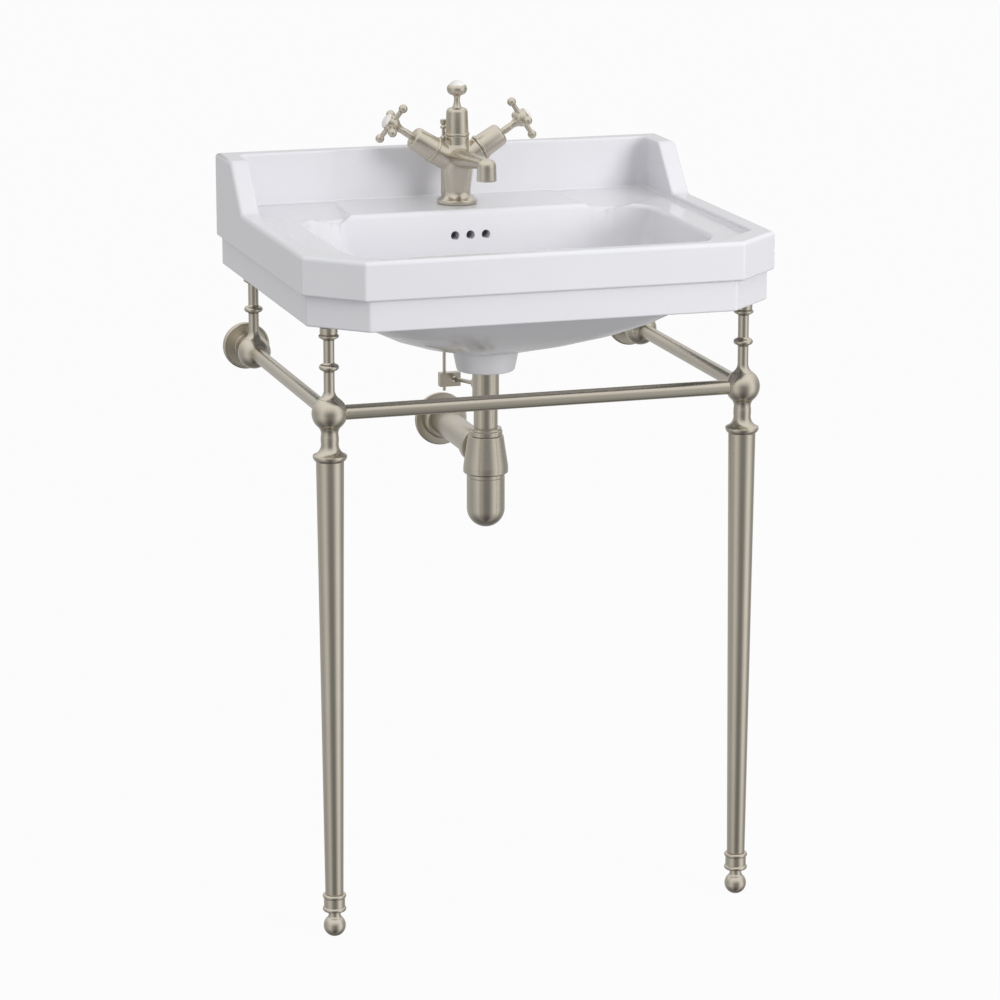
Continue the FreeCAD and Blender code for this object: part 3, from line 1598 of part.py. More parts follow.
def trap():
    dip = s.tail_width / 2 - s.tail_wall - s.slip
    dip_bore = dip + s.slip
    seal_out = dip_bore + s.seal_width
    nut = s.trap_nut_width / 2
    nut_top = trap_top + s.trap_nut_height
    lip_low = nut_top - s.trap_nut_lip_height
    lip = s.trap_nut_lip / 2
    dip_low = bottle_bottom + s.dip_clear
    dip_tube = ring("dip_tube", dip - s.dip_wall, dip, dip_low, tail_bottom + s.dip_overlap)
    keep("dip_tube", at_axis(dip_tube))
    keep("trap_nut", at_axis(turned("trap_nut", [
        (seal_out, trap_top),
        (nut, trap_top),
        (nut, lip_low - s.trap_nut_bevel),
        (lip, lip_low),
        (lip, nut_top),
        (dip_bore, nut_top),
        (dip_bore, trap_top + s.seal_height),
        (seal_out, trap_top + s.seal_height),
    ])))

    # Conical body over the bottle, with its outlet towards the wall
    top = s.trap_top_width / 2
    skirt = s.trap_skirt_width / 2
    bottle = s.bottle_width / 2
    neck = bottle - s.bottle_wall
    lip_top = trap_bottom + s.trap_lip_height
    skirt_low = lip_top + (skirt - bottle)
    body = turned("trap_body", [
        (0, trap_bottom),
        (bottle, trap_bottom),
        (bottle, lip_top),
        (skirt, skirt_low),
        (skirt, trap_bottom + s.trap_skirt_height),
        (top, trap_top),
        (0, trap_top),
    ])
    sketch = new_sketch(body, "XZ_Plane")
    draw_circle(sketch, 0, outlet_z, s.outlet_boss / 2)
    pad(body, sketch, s.outlet_boss_end, reverse=True)
    sketch = new_sketch(body, "XZ_Plane")
    draw_circle(sketch, 0, outlet_z, s.outlet_port / 2)
    pocket(body, sketch, s.outlet_boss_end)
    for radius, depth in (
        (neck + s.slip, s.bottle_neck),
        (top - s.trap_wall, s.trap_height - s.trap_roof),
        (dip_bore, s.trap_height),
    ):
        sketch = new_sketch(body, "XY_Plane", trap_bottom)
        draw_circle(sketch, 0, 0, radius)
        pocket(body, sketch, depth, reverse=True)
    keep("trap_body", at_axis(body))
    inside = neck - s.bottle_wall
    round_centre = bottle_bottom + bottle
    keep("bottle", at_axis(turned("bottle", [
        (0, bottle_bottom, bottle),
        (bottle, round_centre),
        (bottle, trap_bottom),
        (neck, trap_bottom),
        (neck, trap_bottom + s.bottle_neck),
        (inside, trap_bottom + s.bottle_neck),
        (inside, round_centre, -inside),
        (0, round_centre - inside),
    ])))

    # Outlet to the wall
    tube = s.outlet_width / 2
    boss = s.outlet_boss / 2
    seal_end = s.outlet_boss_end + s.seal_height
    keep("outlet_nut", along_outlet(turned("outlet_nut", [
        (boss + s.slip, s.outlet_nut_start),
        (s.outlet_nut_width / 2, s.outlet_nut_start),
        (s.outlet_nut_width / 2, s.outlet_nut_start + s.outlet_nut_height),
        (tube + s.slip, s.outlet_nut_start + s.outlet_nut_height),
        (tube + s.slip, seal_end),
        (boss + s.slip, seal_end),
    ])))
    seals = [
        at_axis(ring("trap_seal", dip_bore, seal_out, trap_top, trap_top + s.seal_height)),
        along_outlet(ring("outlet_seal", tube + s.slip, boss, s.outlet_boss_end, seal_end)),
    ]
    grouped("trap_seals", seals)
    outlet_tube = ring("outlet_tube", tube - s.outlet_wall, tube, s.outlet_boss_end, s.waste_wall)
    keep("outlet_tube", along_outlet(outlet_tube))
    plate = s.waste_wall - s.escutcheon_edge
    start = s.waste_wall - s.escutcheon_depth
    neck_end = start + s.escutcheon_neck_depth
    keep("wall_escutcheon", along_outlet(turned("wall_escutcheon", [
        (tube + s.slip, start),
        (s.escutcheon_neck / 2, start),
        (s.escutcheon_step / 2, neck_end),
        (s.escutcheon_step / 2, plate),
        (s.escutcheon_width / 2, plate),
        (s.escutcheon_width / 2, s.waste_wall),
        (tube + s.slip, s.waste_wall),
    ])))


def check_and_write():
    doc.recompute()
    for item in doc.Objects:
        if "Invalid" in item.State or "Error" in item.State:
            raise RuntimeError(f"{item.Label} failed: {item.State}")
    for label, piece in pieces.items():
        if piece.Shape.isNull() or not piece.Shape.isValid():
            raise RuntimeError(f"{label} has no valid shape")
    os.makedirs("parts", exist_ok=True)
    for label, piece in pieces.items():
        piece.Shape.exportStep(f"parts/{label}.step")
        print(label, len(piece.Shape.Solids), round(piece.Shape.Volume / 1000, 2))


basin()
stand()
tap()
popup_waste()
trap()
check_and_write()
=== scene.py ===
import json
import math

import bmesh
import bpy
from mathutils import Matrix, Vector


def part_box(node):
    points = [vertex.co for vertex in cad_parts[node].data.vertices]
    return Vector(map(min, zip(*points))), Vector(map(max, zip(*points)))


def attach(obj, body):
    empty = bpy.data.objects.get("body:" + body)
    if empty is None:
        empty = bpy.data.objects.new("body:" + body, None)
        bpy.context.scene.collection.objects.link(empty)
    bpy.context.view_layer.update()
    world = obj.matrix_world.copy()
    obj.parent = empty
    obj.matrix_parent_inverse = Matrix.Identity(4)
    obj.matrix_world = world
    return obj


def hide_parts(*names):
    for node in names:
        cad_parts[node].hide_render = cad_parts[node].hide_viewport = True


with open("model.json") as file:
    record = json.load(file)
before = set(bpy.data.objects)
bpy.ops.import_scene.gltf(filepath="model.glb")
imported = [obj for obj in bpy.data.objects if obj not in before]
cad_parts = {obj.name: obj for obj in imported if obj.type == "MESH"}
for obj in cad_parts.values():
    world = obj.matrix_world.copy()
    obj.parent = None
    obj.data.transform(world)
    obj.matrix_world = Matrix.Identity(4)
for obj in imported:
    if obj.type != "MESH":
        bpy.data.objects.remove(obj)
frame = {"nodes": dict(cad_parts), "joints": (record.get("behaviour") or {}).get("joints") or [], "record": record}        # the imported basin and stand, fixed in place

scene = bpy.context.scene
nodes = frame["nodes"]
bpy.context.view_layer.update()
mm = 0.001
quarter = math.radians(90)
sides = ("left", "right")
print("frame loaded:", len(nodes), "nodes")


# Places read from the frame, in millimetres

def boxOf(node):
    low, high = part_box(node)
    return low / mm, high / mm


def middleOf(node):
    low, high = boxOf(node)
    return (low + high) / 2


def levelsOf(node):
    low, high = boxOf(node)
    return low.z, high.z


def jointOf(name):
    return next(joint for joint in frame["joints"] if joint["name"] == name)


legSpots = [middleOf(f"leg_{label}") for label in sides]
backSpots = [middleOf(f"back_hub_{label}") for label in sides]
railHeight = middleOf("front_rail").z
footTop = levelsOf("leg_collars")[0]
legBottom, legTop = levelsOf("leg_left")
cupBottom, cupTop = levelsOf("post_cups")
ringBottom, ringTop = levelsOf("post_lock_rings")
wallY = boxOf("basin")[1].y
deckHeight = levelsOf("tap_gasket")[0]
tapAxis = middleOf("tower")
tapSeat = levelsOf("tap_body")[0]
towerSeat, towerTop = levelsOf("tower")
rodSpot = middleOf("lift_rod")
armPoint = Vector(jointOf("hot_turn")["pos_m"]) / mm
armLine = Vector(jointOf("cold_turn")["axis"])
armLean = math.atan2(armLine.x, armLine.z)      # from upright to the right-hand arm
wasteAxis = middleOf("bottle")
outletHeight = middleOf("outlet_tube").z


def upright(spot, height=0):
    return Matrix.Translation((spot.x, spot.y, height))


def alongX(spot):
    return Matrix.Translation(spot) @ Matrix.Rotation(quarter, 4, "Y")


def alongY(spot):
    return Matrix.Translation(spot) @ Matrix.Rotation(-quarter, 4, "X")


def alongArm(side):
    return Matrix.Translation(armPoint) @ Matrix.Rotation(side * armLean, 4, "Y")


# Materials

def linear(hexColour):
    values = [int(hexColour[k:k + 2], 16) / 255 for k in (1, 3, 5)]
    return [v / 12.92 if v <= 0.04045 else ((v + 0.055) / 1.055) ** 2.4 for v in values] + [1]


def addNode(tree, kind, inputs=None, **settings):
    node = tree.nodes.new(kind)
    for name, value in settings.items():
        setattr(node, name, value)
    for name, value in (inputs or {}).items():
        if isinstance(value, bpy.types.NodeSocket):
            tree.links.new(value, node.inputs[name])
        else:
            node.inputs[name].default_value = value
    return node


def newMaterial(name):
    material = bpy.data.materials.new(name)
    material.use_nodes = True
    return material, material.node_tree, material.node_tree.nodes["Principled BSDF"]


def perMm(size):
    return 1 / (size * mm)       # a texture scale that repeats about every so many millimetres


def glaze(name, look):
    # fired glaze over cast clay: clean white, a clear shine with soft edges and a slight waviness
    material, tree, shader = newMaterial(name)
    place = addNode(tree, "ShaderNodeTexCoord").outputs["Object"]
    cloud = addNode(tree, "ShaderNodeTexNoise", {"Vector": place, "Scale": perMm(look["cloud"]), "Detail": 2})
    tint = addNode(tree, "ShaderNodeMix", {"Factor": cloud.outputs["Fac"], "A": linear(look["colour"]),
                                           "B": linear(look["pooled"])}, data_type="RGBA")
    shine = addNode(tree, "ShaderNodeMapRange", {"Value": cloud.outputs["Fac"], "To Min": look["gloss"],
                                                 "To Max": look["gloss"] + look["dull"]})
    wave = addNode(tree, "ShaderNodeTexNoise", {"Vector": place, "Scale": perMm(look["wave"]), "Detail": 1})
    bump = addNode(tree, "ShaderNodeBump", {"Height": wave.outputs["Fac"], "Strength": 1,
                                            "Distance": look["waveHeight"] * mm})
    tree.links.new(tint.outputs["Result"], shader.inputs["Base Color"])
    tree.links.new(shine.outputs["Result"], shader.inputs["Roughness"])
    tree.links.new(bump.outputs["Normal"], shader.inputs["Normal"])
    shader.inputs["IOR"].default_value = look["ior"]
    return material


def satinNickel(name, look, turn=(0, 0, 0)):
    # nickel plate on turned brass, brushed round its axis: a warm grey with long soft highlights
    material, tree, shader = newMaterial(name)
    place = addNode(tree, "ShaderNodeTexCoord").outputs["Object"]
    lined = addNode(tree, "ShaderNodeMapping", {"Vector": place, "Rotation": turn})
    stretched = addNode(tree, "ShaderNodeMapping", {
        "Vector": lined.outputs["Vector"],
        "Scale": (perMm(look["lineLength"]), perMm(look["lineLength"]), perMm(look["lineWidth"]))})
    lines = addNode(tree, "ShaderNodeTexNoise", {"Vector": stretched.outputs["Vector"], "Scale": 1,
                                                 "Detail": 3})
    cloud = addNode(tree, "ShaderNodeTexNoise", {"Vector": place, "Scale": perMm(look["cloud"]), "Detail": 2})
    tint = addNode(tree, "ShaderNodeMix", {"Factor": cloud.outputs["Fac"], "A": linear(look["colour"]),
                                           "B": linear(look["deep"])}, data_type="RGBA")
    satin = addNode(tree, "ShaderNodeMapRange", {"Value": lines.outputs["Fac"], "To Min": look["gloss"],
                                                 "To Max": look["gloss"] + look["dull"]})
    bump = addNode(tree, "ShaderNodeBump", {"Height": lines.outputs["Fac"], "Strength": 1,
                                            "Distance": look["lineDepth"] * mm})
    tree.links.new(tint.outputs["Result"], shader.inputs["Base Color"])
    tree.links.new(satin.outputs["Result"], shader.inputs["Roughness"])
    tree.links.new(bump.outputs["Normal"], shader.inputs["Normal"])
    shader.inputs["Metallic"].default_value = 1
    return material


def plainMetal(name, look):
    # zinc plated steel: a cool grey with a faint mottle
    material, tree, shader = newMaterial(name)
    place = addNode(tree, "ShaderNodeTexCoord").outputs["Object"]
    mottle = addNode(tree, "ShaderNodeTexNoise", {"Vector": place, "Scale": perMm(look["mottle"]),
                                                  "Detail": 3})
    tint = addNode(tree, "ShaderNodeMix", {"Factor": mottle.outputs["Fac"], "A": linear(look["colour"]),
                                           "B": linear(look["deep"])}, data_type="RGBA")
    tree.links.new(tint.outputs["Result"], shader.inputs["Base Color"])
    shader.inputs["Metallic"].default_value = 1
    shader.inputs["Roughness"].default_value = look["roughness"]
    return material


def blackRubber(name, look):
    # moulded rubber: matt near-black with a fine grain
    material, tree, shader = newMaterial(name)
    place = addNode(tree, "ShaderNodeTexCoord").outputs["Object"]
    grain = addNode(tree, "ShaderNodeTexNoise", {"Vector": place, "Scale": perMm(look["grain"]), "Detail": 2})
    tint = addNode(tree, "ShaderNodeMix", {"Factor": grain.outputs["Fac"], "A": linear(look["colour"]),
                                           "B": linear(look["worn"])}, data_type="RGBA")
    bump = addNode(tree, "ShaderNodeBump", {"Height": grain.outputs["Fac"], "Strength": 0.5,
                                            "Distance": look["grainHeight"] * mm})
    tree.links.new(tint.outputs["Result"], shader.inputs["Base Color"])
    tree.links.new(bump.outputs["Normal"], shader.inputs["Normal"])
    shader.inputs["Roughness"].default_value = look["roughness"]
    return material


# pattern sizes in millimetres
chinaLook = {"colour": "#E4E4E8", "pooled": "#E0E0E4", "cloud": 70, "gloss": 0.10, "dull": 0.06,
             "wave": 12, "waveHeight": 0.012, "ior": 1.52}
porcelainLook = {"colour": "#F1F0EC", "pooled": "#E9E7E1", "cloud": 8, "gloss": 0.12, "dull": 0.06,
                 "wave": 6, "waveHeight": 0.002, "ior": 1.5}
# brushing lines are far finer than a pixel, so they are drawn about ten times as wide
nickelLook = {"colour": "#CFC8BA", "deep": "#C8C0B1", "cloud": 40, "gloss": 0.2, "dull": 0.1,
              "lineLength": 30, "lineWidth": 0.7, "lineDepth": 0.001}
zincLook = {"colour": "#A9ABAD", "deep": "#8F9194", "mottle": 3, "roughness": 0.38}
rubberLook = {"colour": "#161616", "worn": "#262626", "grain": 0.8, "grainHeight": 0.05, "roughness": 0.75}

china = glaze("vitreousChina", chinaLook)
porcelain = glaze("whitePorcelain", porcelainLook)
# the brushing runs round the piece, so each direction of axis has its own nickel
nickel = satinNickel("satinNickelUpright", nickelLook)
nickelAcross = satinNickel("satinNickelAcross", nickelLook, (0, quarter, 0))
nickelDeep = satinNickel("satinNickelDeep", nickelLook, (quarter, 0, 0))
nickelArms = {side: satinNickel(f"satinNickelArm{label}", nickelLook, (0, -side * armLean, 0))
              for side, label in ((-1, "Left"), (1, "Right"))}
zinc = plainMetal("zincPlatedSteel", zincLook)
rubber = blackRubber("blackRubber", rubberLook)
print("materials made")


# Modelling

roundSteps = 72       # facets round a turned piece
smallSteps = 40       # facets round a small one
spokeSteps = 32       # facets round a spoke, before it is cast
ovalSteps = 48        # facets round an oval, before it is cast
arcSteps = 10         # facets along an arc of a profile
softSteps = 4         # facets across a softened edge
mergeGap = 0.001      # points of a turned piece this close are one, in millimetres
sharpAngle = math.radians(38)


def drawProfile(bm, profile):
    # rows of (radius, height, bend, soft): bend is the radius of an arc to the next row,
    # and soft rounds the corner
    rows = [tuple(row) + (0,) * (4 - len(row)) for row in profile]
    last = bm.verts.new((rows[0][0], 0, rows[0][1]))
    first = last
    softened = {}
    for here, ahead in zip(rows, rows[1:]):
        start, end = Vector((here[0], 0, here[1])), Vector((ahead[0], 0, ahead[1]))
        bend = here[2]
        if here[3]:
            softened.setdefault(here[3], []).append(last)
        if bend:
            chord = end - start
            half = chord.length / 2
            aside = Vector((-chord.z, 0, chord.x)).normalized()
            depth = math.sqrt(max(bend * bend - half * half, 0))
            centre = (start + end) / 2 + aside * math.copysign(depth, bend)
            angle = math.copysign(2 * math.asin(min(half / abs(bend), 1)), bend)
            made = bmesh.ops.spin(bm, geom=[last], cent=centre, axis=(0, -1, 0), angle=angle, steps=arcSteps)
            last = next(item for item in made["geom_last"] if isinstance(item, bmesh.types.BMVert))
            last.co = end
        else:
            corner = bm.verts.new(end)
            bm.edges.new((last, corner))
            last = corner
    if rows[-1][3]:
        softened.setdefault(rows[-1][3], []).append(last)
    if rows[0][0] > 0:
        bm.edges.new((last, first))       # a bored piece has a closed profile
    for soft, corners in softened.items():
        bmesh.ops.bevel(bm, geom=corners, offset=soft, offset_type="OFFSET", segments=softSteps,
                        profile=0.5, affect="VERTICES", material=-1, clamp_overlap=True)


def turned(profile, steps=roundSteps):
    bm = bmesh.new()
    drawProfile(bm, profile)
    bmesh.ops.spin(bm, geom=bm.verts[:] + bm.edges[:], cent=(0, 0, 0), axis=(0, 0, 1),
                   angle=2 * math.pi, steps=steps, use_merge=True)
    bmesh.ops.remove_doubles(bm, verts=bm.verts, dist=mergeGap)
    bmesh.ops.recalc_face_normals(bm, faces=bm.faces)
    return bm


def plainBar(radius, low, high, soft=0, steps=roundSteps):
    # a round bar, soft at its lower edge
    return turned([(0, low), (radius, low, 0, soft), (radius, high), (0, high)], steps)


def lofted(stations):
    # oval rings at distances along Z, joined in order and closed at both ends
    bm = bmesh.new()
    rings = []
    for distance, halfWidth, halfHeight, lift in stations:
        spot = Matrix.Translation((0, lift, distance)) @ Matrix.Diagonal((halfWidth, halfHeight, 1, 1))
        made = bmesh.ops.create_circle(bm, cap_ends=False, radius=1, segments=ovalSteps, matrix=spot)
        rings.append({item for vert in made["verts"] for item in vert.link_edges})
    for here, ahead in zip(rings, rings[1:]):
        bmesh.ops.bridge_loops(bm, edges=[*here, *ahead])
    for end in (rings[0], rings[-1]):
        bmesh.ops.edgeloop_fill(bm, edges=list(end))
    bmesh.ops.recalc_face_normals(bm, faces=bm.faces)
    return bm


def gathered(shapes):
    # shapes are (bmesh, matrix) pairs, copied into one bmesh
    whole = bmesh.new()
    for bm, matrix in shapes:
        mesh = bpy.data.meshes.new("shape")
        bm.to_mesh(mesh)
        mesh.transform(matrix)
        whole.from_mesh(mesh)
        bpy.data.meshes.remove(mesh)
    return whole


def addObject(name, bm, scale=1):
    mesh = bpy.data.meshes.new(name)
    bm.to_mesh(mesh)
    mesh.transform(Matrix.Scale(scale, 4))
    made = bpy.data.objects.new(name, mesh)
    scene.collection.objects.link(made)
    return made


def finishedCopy(helper):
    # the helper's mesh with its modifiers applied
    mesh = bpy.data.meshes.new_from_object(helper.evaluated_get(bpy.context.evaluated_depsgraph_get()))
    bm = bmesh.new()
    bm.from_mesh(mesh)
    bpy.data.meshes.remove(mesh)
    return bm


def dropHelper(helper):
    mesh = helper.data
    bpy.data.objects.remove(helper)
    bpy.data.meshes.remove(mesh)


def cast(shapes, voxel, passes):
    # overlapping closed shapes become one skin, with a small cast fillet wherever they meet
    helper = addObject("casting", gathered(shapes))
    skin = helper.modifiers.new("skin", "REMESH")
    skin.mode = "VOXEL"
    skin.voxel_size = voxel
    smooth = helper.modifiers.new("fillets", "SMOOTH")
    smooth.factor = 0.5
    smooth.iterations = passes
    bm = finishedCopy(helper)
    dropHelper(helper)
    return bm


def addPiece(name, bm, material, slot, body, *replaced, scale=mm):
    piece = addObject(name, bm, scale)
    bm.free()
    piece.data.shade_smooth()
    piece.data.set_sharp_from_angle(angle=sharpAngle)
    piece.data.materials.append(material)
    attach(piece, body)
    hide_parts(*replaced)
    return piece


def addMetal(name, shapes, material, body, *replaced):
    return addPiece(name, gathered(shapes), material, "satin_nickel", body, *replaced)


def addCasting(name, shapes, settings, material, body, *replaced):
    whole = cast(shapes, settings["voxel"], settings["passes"])
    return addPiece(name, whole, material, "satin_nickel", body, *replaced)


def acrossBall(radius, offset):
    return math.sqrt(radius * radius - offset * offset)


def domeRadius(halfWidth, rise):
    return (halfWidth * halfWidth + rise * rise) / (2 * rise)


# Stand

postSpots = [*legSpots, *backSpots]

footShape = {"ball": 12.9, "centre": 12.5, "neck": 7, "cove": 2.5}
footLow = acrossBall(footShape["ball"], footShape["centre"])
neckLow = footShape["centre"] + acrossBall(footShape["ball"], footShape["neck"])
foot = turned([
    (0, 0),
    (footLow, 0, footShape["ball"]),
    (footShape["neck"], neckLow, 0, footShape["cove"]),
    (footShape["neck"], footTop),
    (0, footTop),
])

collarShape = {"waist": 12.2, "bead": 5, "round": 2.9, "soft": 0.5}
collar = turned([
    (0, footTop),
    (collarShape["waist"], footTop, collarShape["round"], collarShape["soft"]),
    (collarShape["waist"], footTop + collarShape["bead"]),
    (collarShape["waist"], legBottom - collarShape["bead"], collarShape["round"]),
    (collarShape["waist"], legBottom, 0, collarShape["soft"]),
    (0, legBottom),
])

legShape = {"foot": 10.5, "head": 15.75, "soft": 0.5}
leg = turned([
    (0, legBottom),
    (legShape["foot"], legBottom, 0, legShape["soft"]),
    (legShape["head"], legTop, 0, legShape["soft"]),
    (0, legTop),
])

hubShape = {"ball": 20.2, "flat": 9.9, "post": 11.6, "soft": 0.5}
hubSeat = railHeight - acrossBall(hubShape["ball"], hubShape["flat"])
hubHead = railHeight + acrossBall(hubShape["ball"], hubShape["post"])
frontHub = turned([
    (0, hubSeat),
    (hubShape["flat"], hubSeat, hubShape["ball"]),
    (hubShape["post"], hubHead, 0, hubShape["soft"]),
    (0, hubHead),
])
backHub = turned([
    (0, railHeight - hubShape["ball"], hubShape["ball"]),
    (hubShape["post"], hubHead, 0, hubShape["soft"]),
    (0, hubHead),
])

capShape = {"flange": 16, "flangeRise": 7, "round": 6.2, "sweep": 19.2, "cove": 13, "neck": 10.2,
            "neckRise": 22, "neckEnd": 28, "flare": 12.4, "flareCove": 12, "soft": 0.5}
flangeTop = legTop + capShape["flangeRise"]
# the cap runs into the ball of the hub here
flareTop = railHeight - acrossBall(hubShape["ball"], capShape["flare"])
cap = turned([
    (0, legTop),
    (capShape["flange"], legTop, capShape["round"], capShape["soft"]),
    (capShape["sweep"], flangeTop, -capShape["cove"], capShape["soft"]),
    (capShape["neck"], legTop + capShape["neckRise"]),
    (capShape["neck"], legTop + capShape["neckEnd"], -capShape["flareCove"]),
    (capShape["flare"], flareTop),
    (0, flareTop),
])

postShape = {"bar": 6.15, "flare": 9.8, "cove": 13}
cupShape = {"edge": 11.4, "taper": 3.4, "groove": 5.6, "deep": 0.9, "neck": 10, "soft": 0.5}
post = turned([
    (0, hubHead),
    (hubShape["post"], hubHead, -postShape["cove"], hubShape["soft"] / 2),
    (postShape["bar"], hubHead + postShape["flare"]),
    (postShape["bar"], cupBottom + cupShape["taper"]),
    (0, cupBottom + cupShape["taper"]),
])
cup = turned([
    (0, cupBottom),
    (postShape["bar"], cupBottom),
    (cupShape["edge"], cupBottom + cupShape["taper"], 0, cupShape["soft"]),
    (cupShape["edge"], cupBottom + cupShape["groove"], 0, cupShape["soft"]),
    (cupShape["neck"] - cupShape["deep"], cupBottom + cupShape["groove"] + cupShape["deep"]),
    (cupShape["neck"], cupBottom + cupShape["groove"] + 2 * cupShape["deep"], 0, cupShape["soft"]),
    (cupShape["neck"], cupTop, 0, cupShape["soft"]),
    (0, cupTop),
])

ringShape = {"rim": 9.6, "round": 3.4, "slope": 2.6, "cove": 4}
ring = turned([
    (0, ringBottom),
    (postShape["bar"], ringBottom, -ringShape["cove"]),
    (ringShape["rim"], ringBottom + ringShape["slope"], ringShape["round"]),
    (ringShape["rim"], ringTop - ringShape["slope"], -ringShape["cove"]),
    (postShape["bar"], ringTop),
    (0, ringTop),
])

for label, spot in zip(sides, legSpots):
    addMetal(f"ballFoot_{label}", [(foot, upright(spot))], nickel, "frame", f"foot_{label}")
    addMetal(f"taperedLeg_{label}", [(leg, upright(spot))], nickel, "frame", f"leg_{label}")
    addMetal(f"ballHub_front_{label}", [(frontHub, upright(spot))], nickel, "frame", f"front_hub_{label}")
for label, spot in zip(sides, backSpots):
    addMetal(f"ballHub_back_{label}", [(backHub, upright(spot))], nickel, "frame", f"back_hub_{label}")
addMetal("beadedCollars", [(collar, upright(s)) for s in legSpots], nickel, "frame", "leg_collars")
addMetal("legCaps", [(cap, upright(s)) for s in legSpots], nickel, "frame", "leg_caps")
addMetal("frontPosts", [(post, upright(s)) for s in legSpots], nickel, "frame", "front_posts")
addMetal("backPosts", [(post, upright(s)) for s in backSpots], nickel, "frame", "back_posts")
addMetal("lockRings", [(ring, upright(s)) for s in postSpots], nickel, "frame", "post_lock_rings")
addMetal("postCups", [(cup, upright(s)) for s in postSpots], nickel, "frame", "post_cups")

railShape = {"bar": 8.5}
flangeShape = {"disc": 28.4, "edge": 6, "rim": 3, "rimHeight": 1.6, "dish": 1.4, "collar": 16,
               "collarHeight": 12, "hole": 5, "holeDepth": 20, "soft": 1}


def rail(length):
    return plainBar(railShape["bar"], -length / 2, length / 2)


def wallFlange(reach):
    # from the hub at 0 to the wall at reach, with a dished disc and a blind bolt hole
    face = reach - flangeShape["edge"]
    rimInside = flangeShape["disc"] - flangeShape["rim"]
    return turned([
        (0, 0),
        (railShape["bar"], 0),
        (railShape["bar"], reach - flangeShape["collarHeight"]),
        (flangeShape["collar"], reach - flangeShape["collarHeight"], 0, flangeShape["soft"]),
        (flangeShape["collar"], face - flangeShape["dish"]),
        (rimInside, face, 0, flangeShape["soft"] / 2),
        (rimInside, face - flangeShape["rimHeight"], 0, flangeShape["soft"] / 2),
        (flangeShape["disc"], face - flangeShape["rimHeight"], 0, flangeShape["soft"] * 2),
        (flangeShape["disc"], reach),
        (flangeShape["hole"], reach),
        (flangeShape["hole"], reach - flangeShape["holeDepth"]),
        (0, reach - flangeShape["holeDepth"]),
    ])


railLow, railHigh = boxOf("front_rail")
frontBar = rail(railHigh.x - railLow.x)
addMetal("frontRail", [(frontBar, alongX(middleOf("front_rail")))], nickelAcross, "frame", "front_rail")
for label in sides:
    railLow, railHigh = boxOf(f"side_rail_{label}")
    sideBar = rail(railHigh.y - railLow.y)
    sideSpot = alongY(middleOf(f"side_rail_{label}"))
    addMetal(f"sideRail_{label}", [(sideBar, sideSpot)], nickelDeep, "frame", f"side_rail_{label}")
    flangeLow, flangeHigh = boxOf(f"wall_flange_{label}")
    flange = wallFlange(flangeHigh.y - flangeLow.y)
    start = middleOf(f"wall_flange_{label}")
    start.y = flangeLow.y
    addMetal(f"wallFlange_{label}", [(flange, alongY(start))], nickelDeep, "frame", f"wall_flange_{label}")
print("stand made")


# Tap

bodyShape = {"base": 24.35, "skirt": 1.8, "skirtSoft": 0.6, "edge": 4, "cove": 10, "waist": 16,
             "waistRise": 13, "belly": 20, "bellyRise": 42, "bellySoft": 5, "shoulder": 60, "neck": 14.2,
             "neckRise": 70, "arm": 15.2, "armReach": 33, "voxel": 0.65, "passes": 8}
base = bodyShape["base"]
edgeRound = bodyShape["edge"] / 2
core = turned([
    (0, tapSeat - bodyShape["skirt"]),
    (base, tapSeat - bodyShape["skirt"], 0, bodyShape["skirtSoft"]),
    (base, tapSeat + edgeRound, edgeRound),
    (base - edgeRound, tapSeat + edgeRound * 2, -bodyShape["cove"]),
    (bodyShape["waist"], tapSeat + bodyShape["waistRise"]),
    (bodyShape["belly"], tapSeat + bodyShape["bellyRise"], bodyShape["shoulder"], bodyShape["bellySoft"]),
    (bodyShape["neck"], tapSeat + bodyShape["neckRise"]),
    (bodyShape["neck"], towerSeat),
    (0, towerSeat),
])
arm = plainBar(bodyShape["arm"], 0, bodyShape["armReach"])

# the guide of the lift rod: a round head, and a rib from the core out to the rod
bossShape = {"head": 4.2, "headRise": 60, "rise": 79, "rib": 7, "wall": 1}
bossTop = tapSeat + bossShape["rise"]
boss = turned([
    (0, tapSeat + bossShape["headRise"]),
    (bossShape["head"], tapSeat + bossShape["headRise"]),
    (bossShape["head"], bossTop - bossShape["head"], bossShape["head"]),
    (0, bossTop),
])
toRod = Vector((rodSpot.x - tapAxis.x, rodSpot.y - tapAxis.y, 0))
rodRadius = (boxOf("lift_rod")[1].x - boxOf("lift_rod")[0].x) / 2
ribReach = (toRod.length + rodRadius + bossShape["wall"]) / 2
ribOval = (ribReach, bossShape["rib"], 0)
rib = lofted([(tapSeat, *ribOval), (tapSeat + bossShape["headRise"], *ribOval)])
ribTurn = Matrix.Rotation(math.atan2(toRod.y, toRod.x), 4, "Z")
ribSpot = upright(tapAxis + toRod.normalized() * ribReach) @ ribTurn

# spout stations are distance, half width, half height and lift
spoutShape = {"rise": 55, "reach": 122, "voxel": 0.5, "passes": 6,
              "stations": ((14, 14.8, 11.5, 0), (30, 14.6, 11.3, 0.2), (50, 13.4, 10.2, 1.6),
                           (75, 11.6, 8.6, 4.0), (102, 10.4, 7.6, 6.2), (122, 9.8, 7, 7))}
socketShape = {"reach": 25, "width": 13.4, "height": 10}
spoutHeight = tapSeat + spoutShape["rise"]
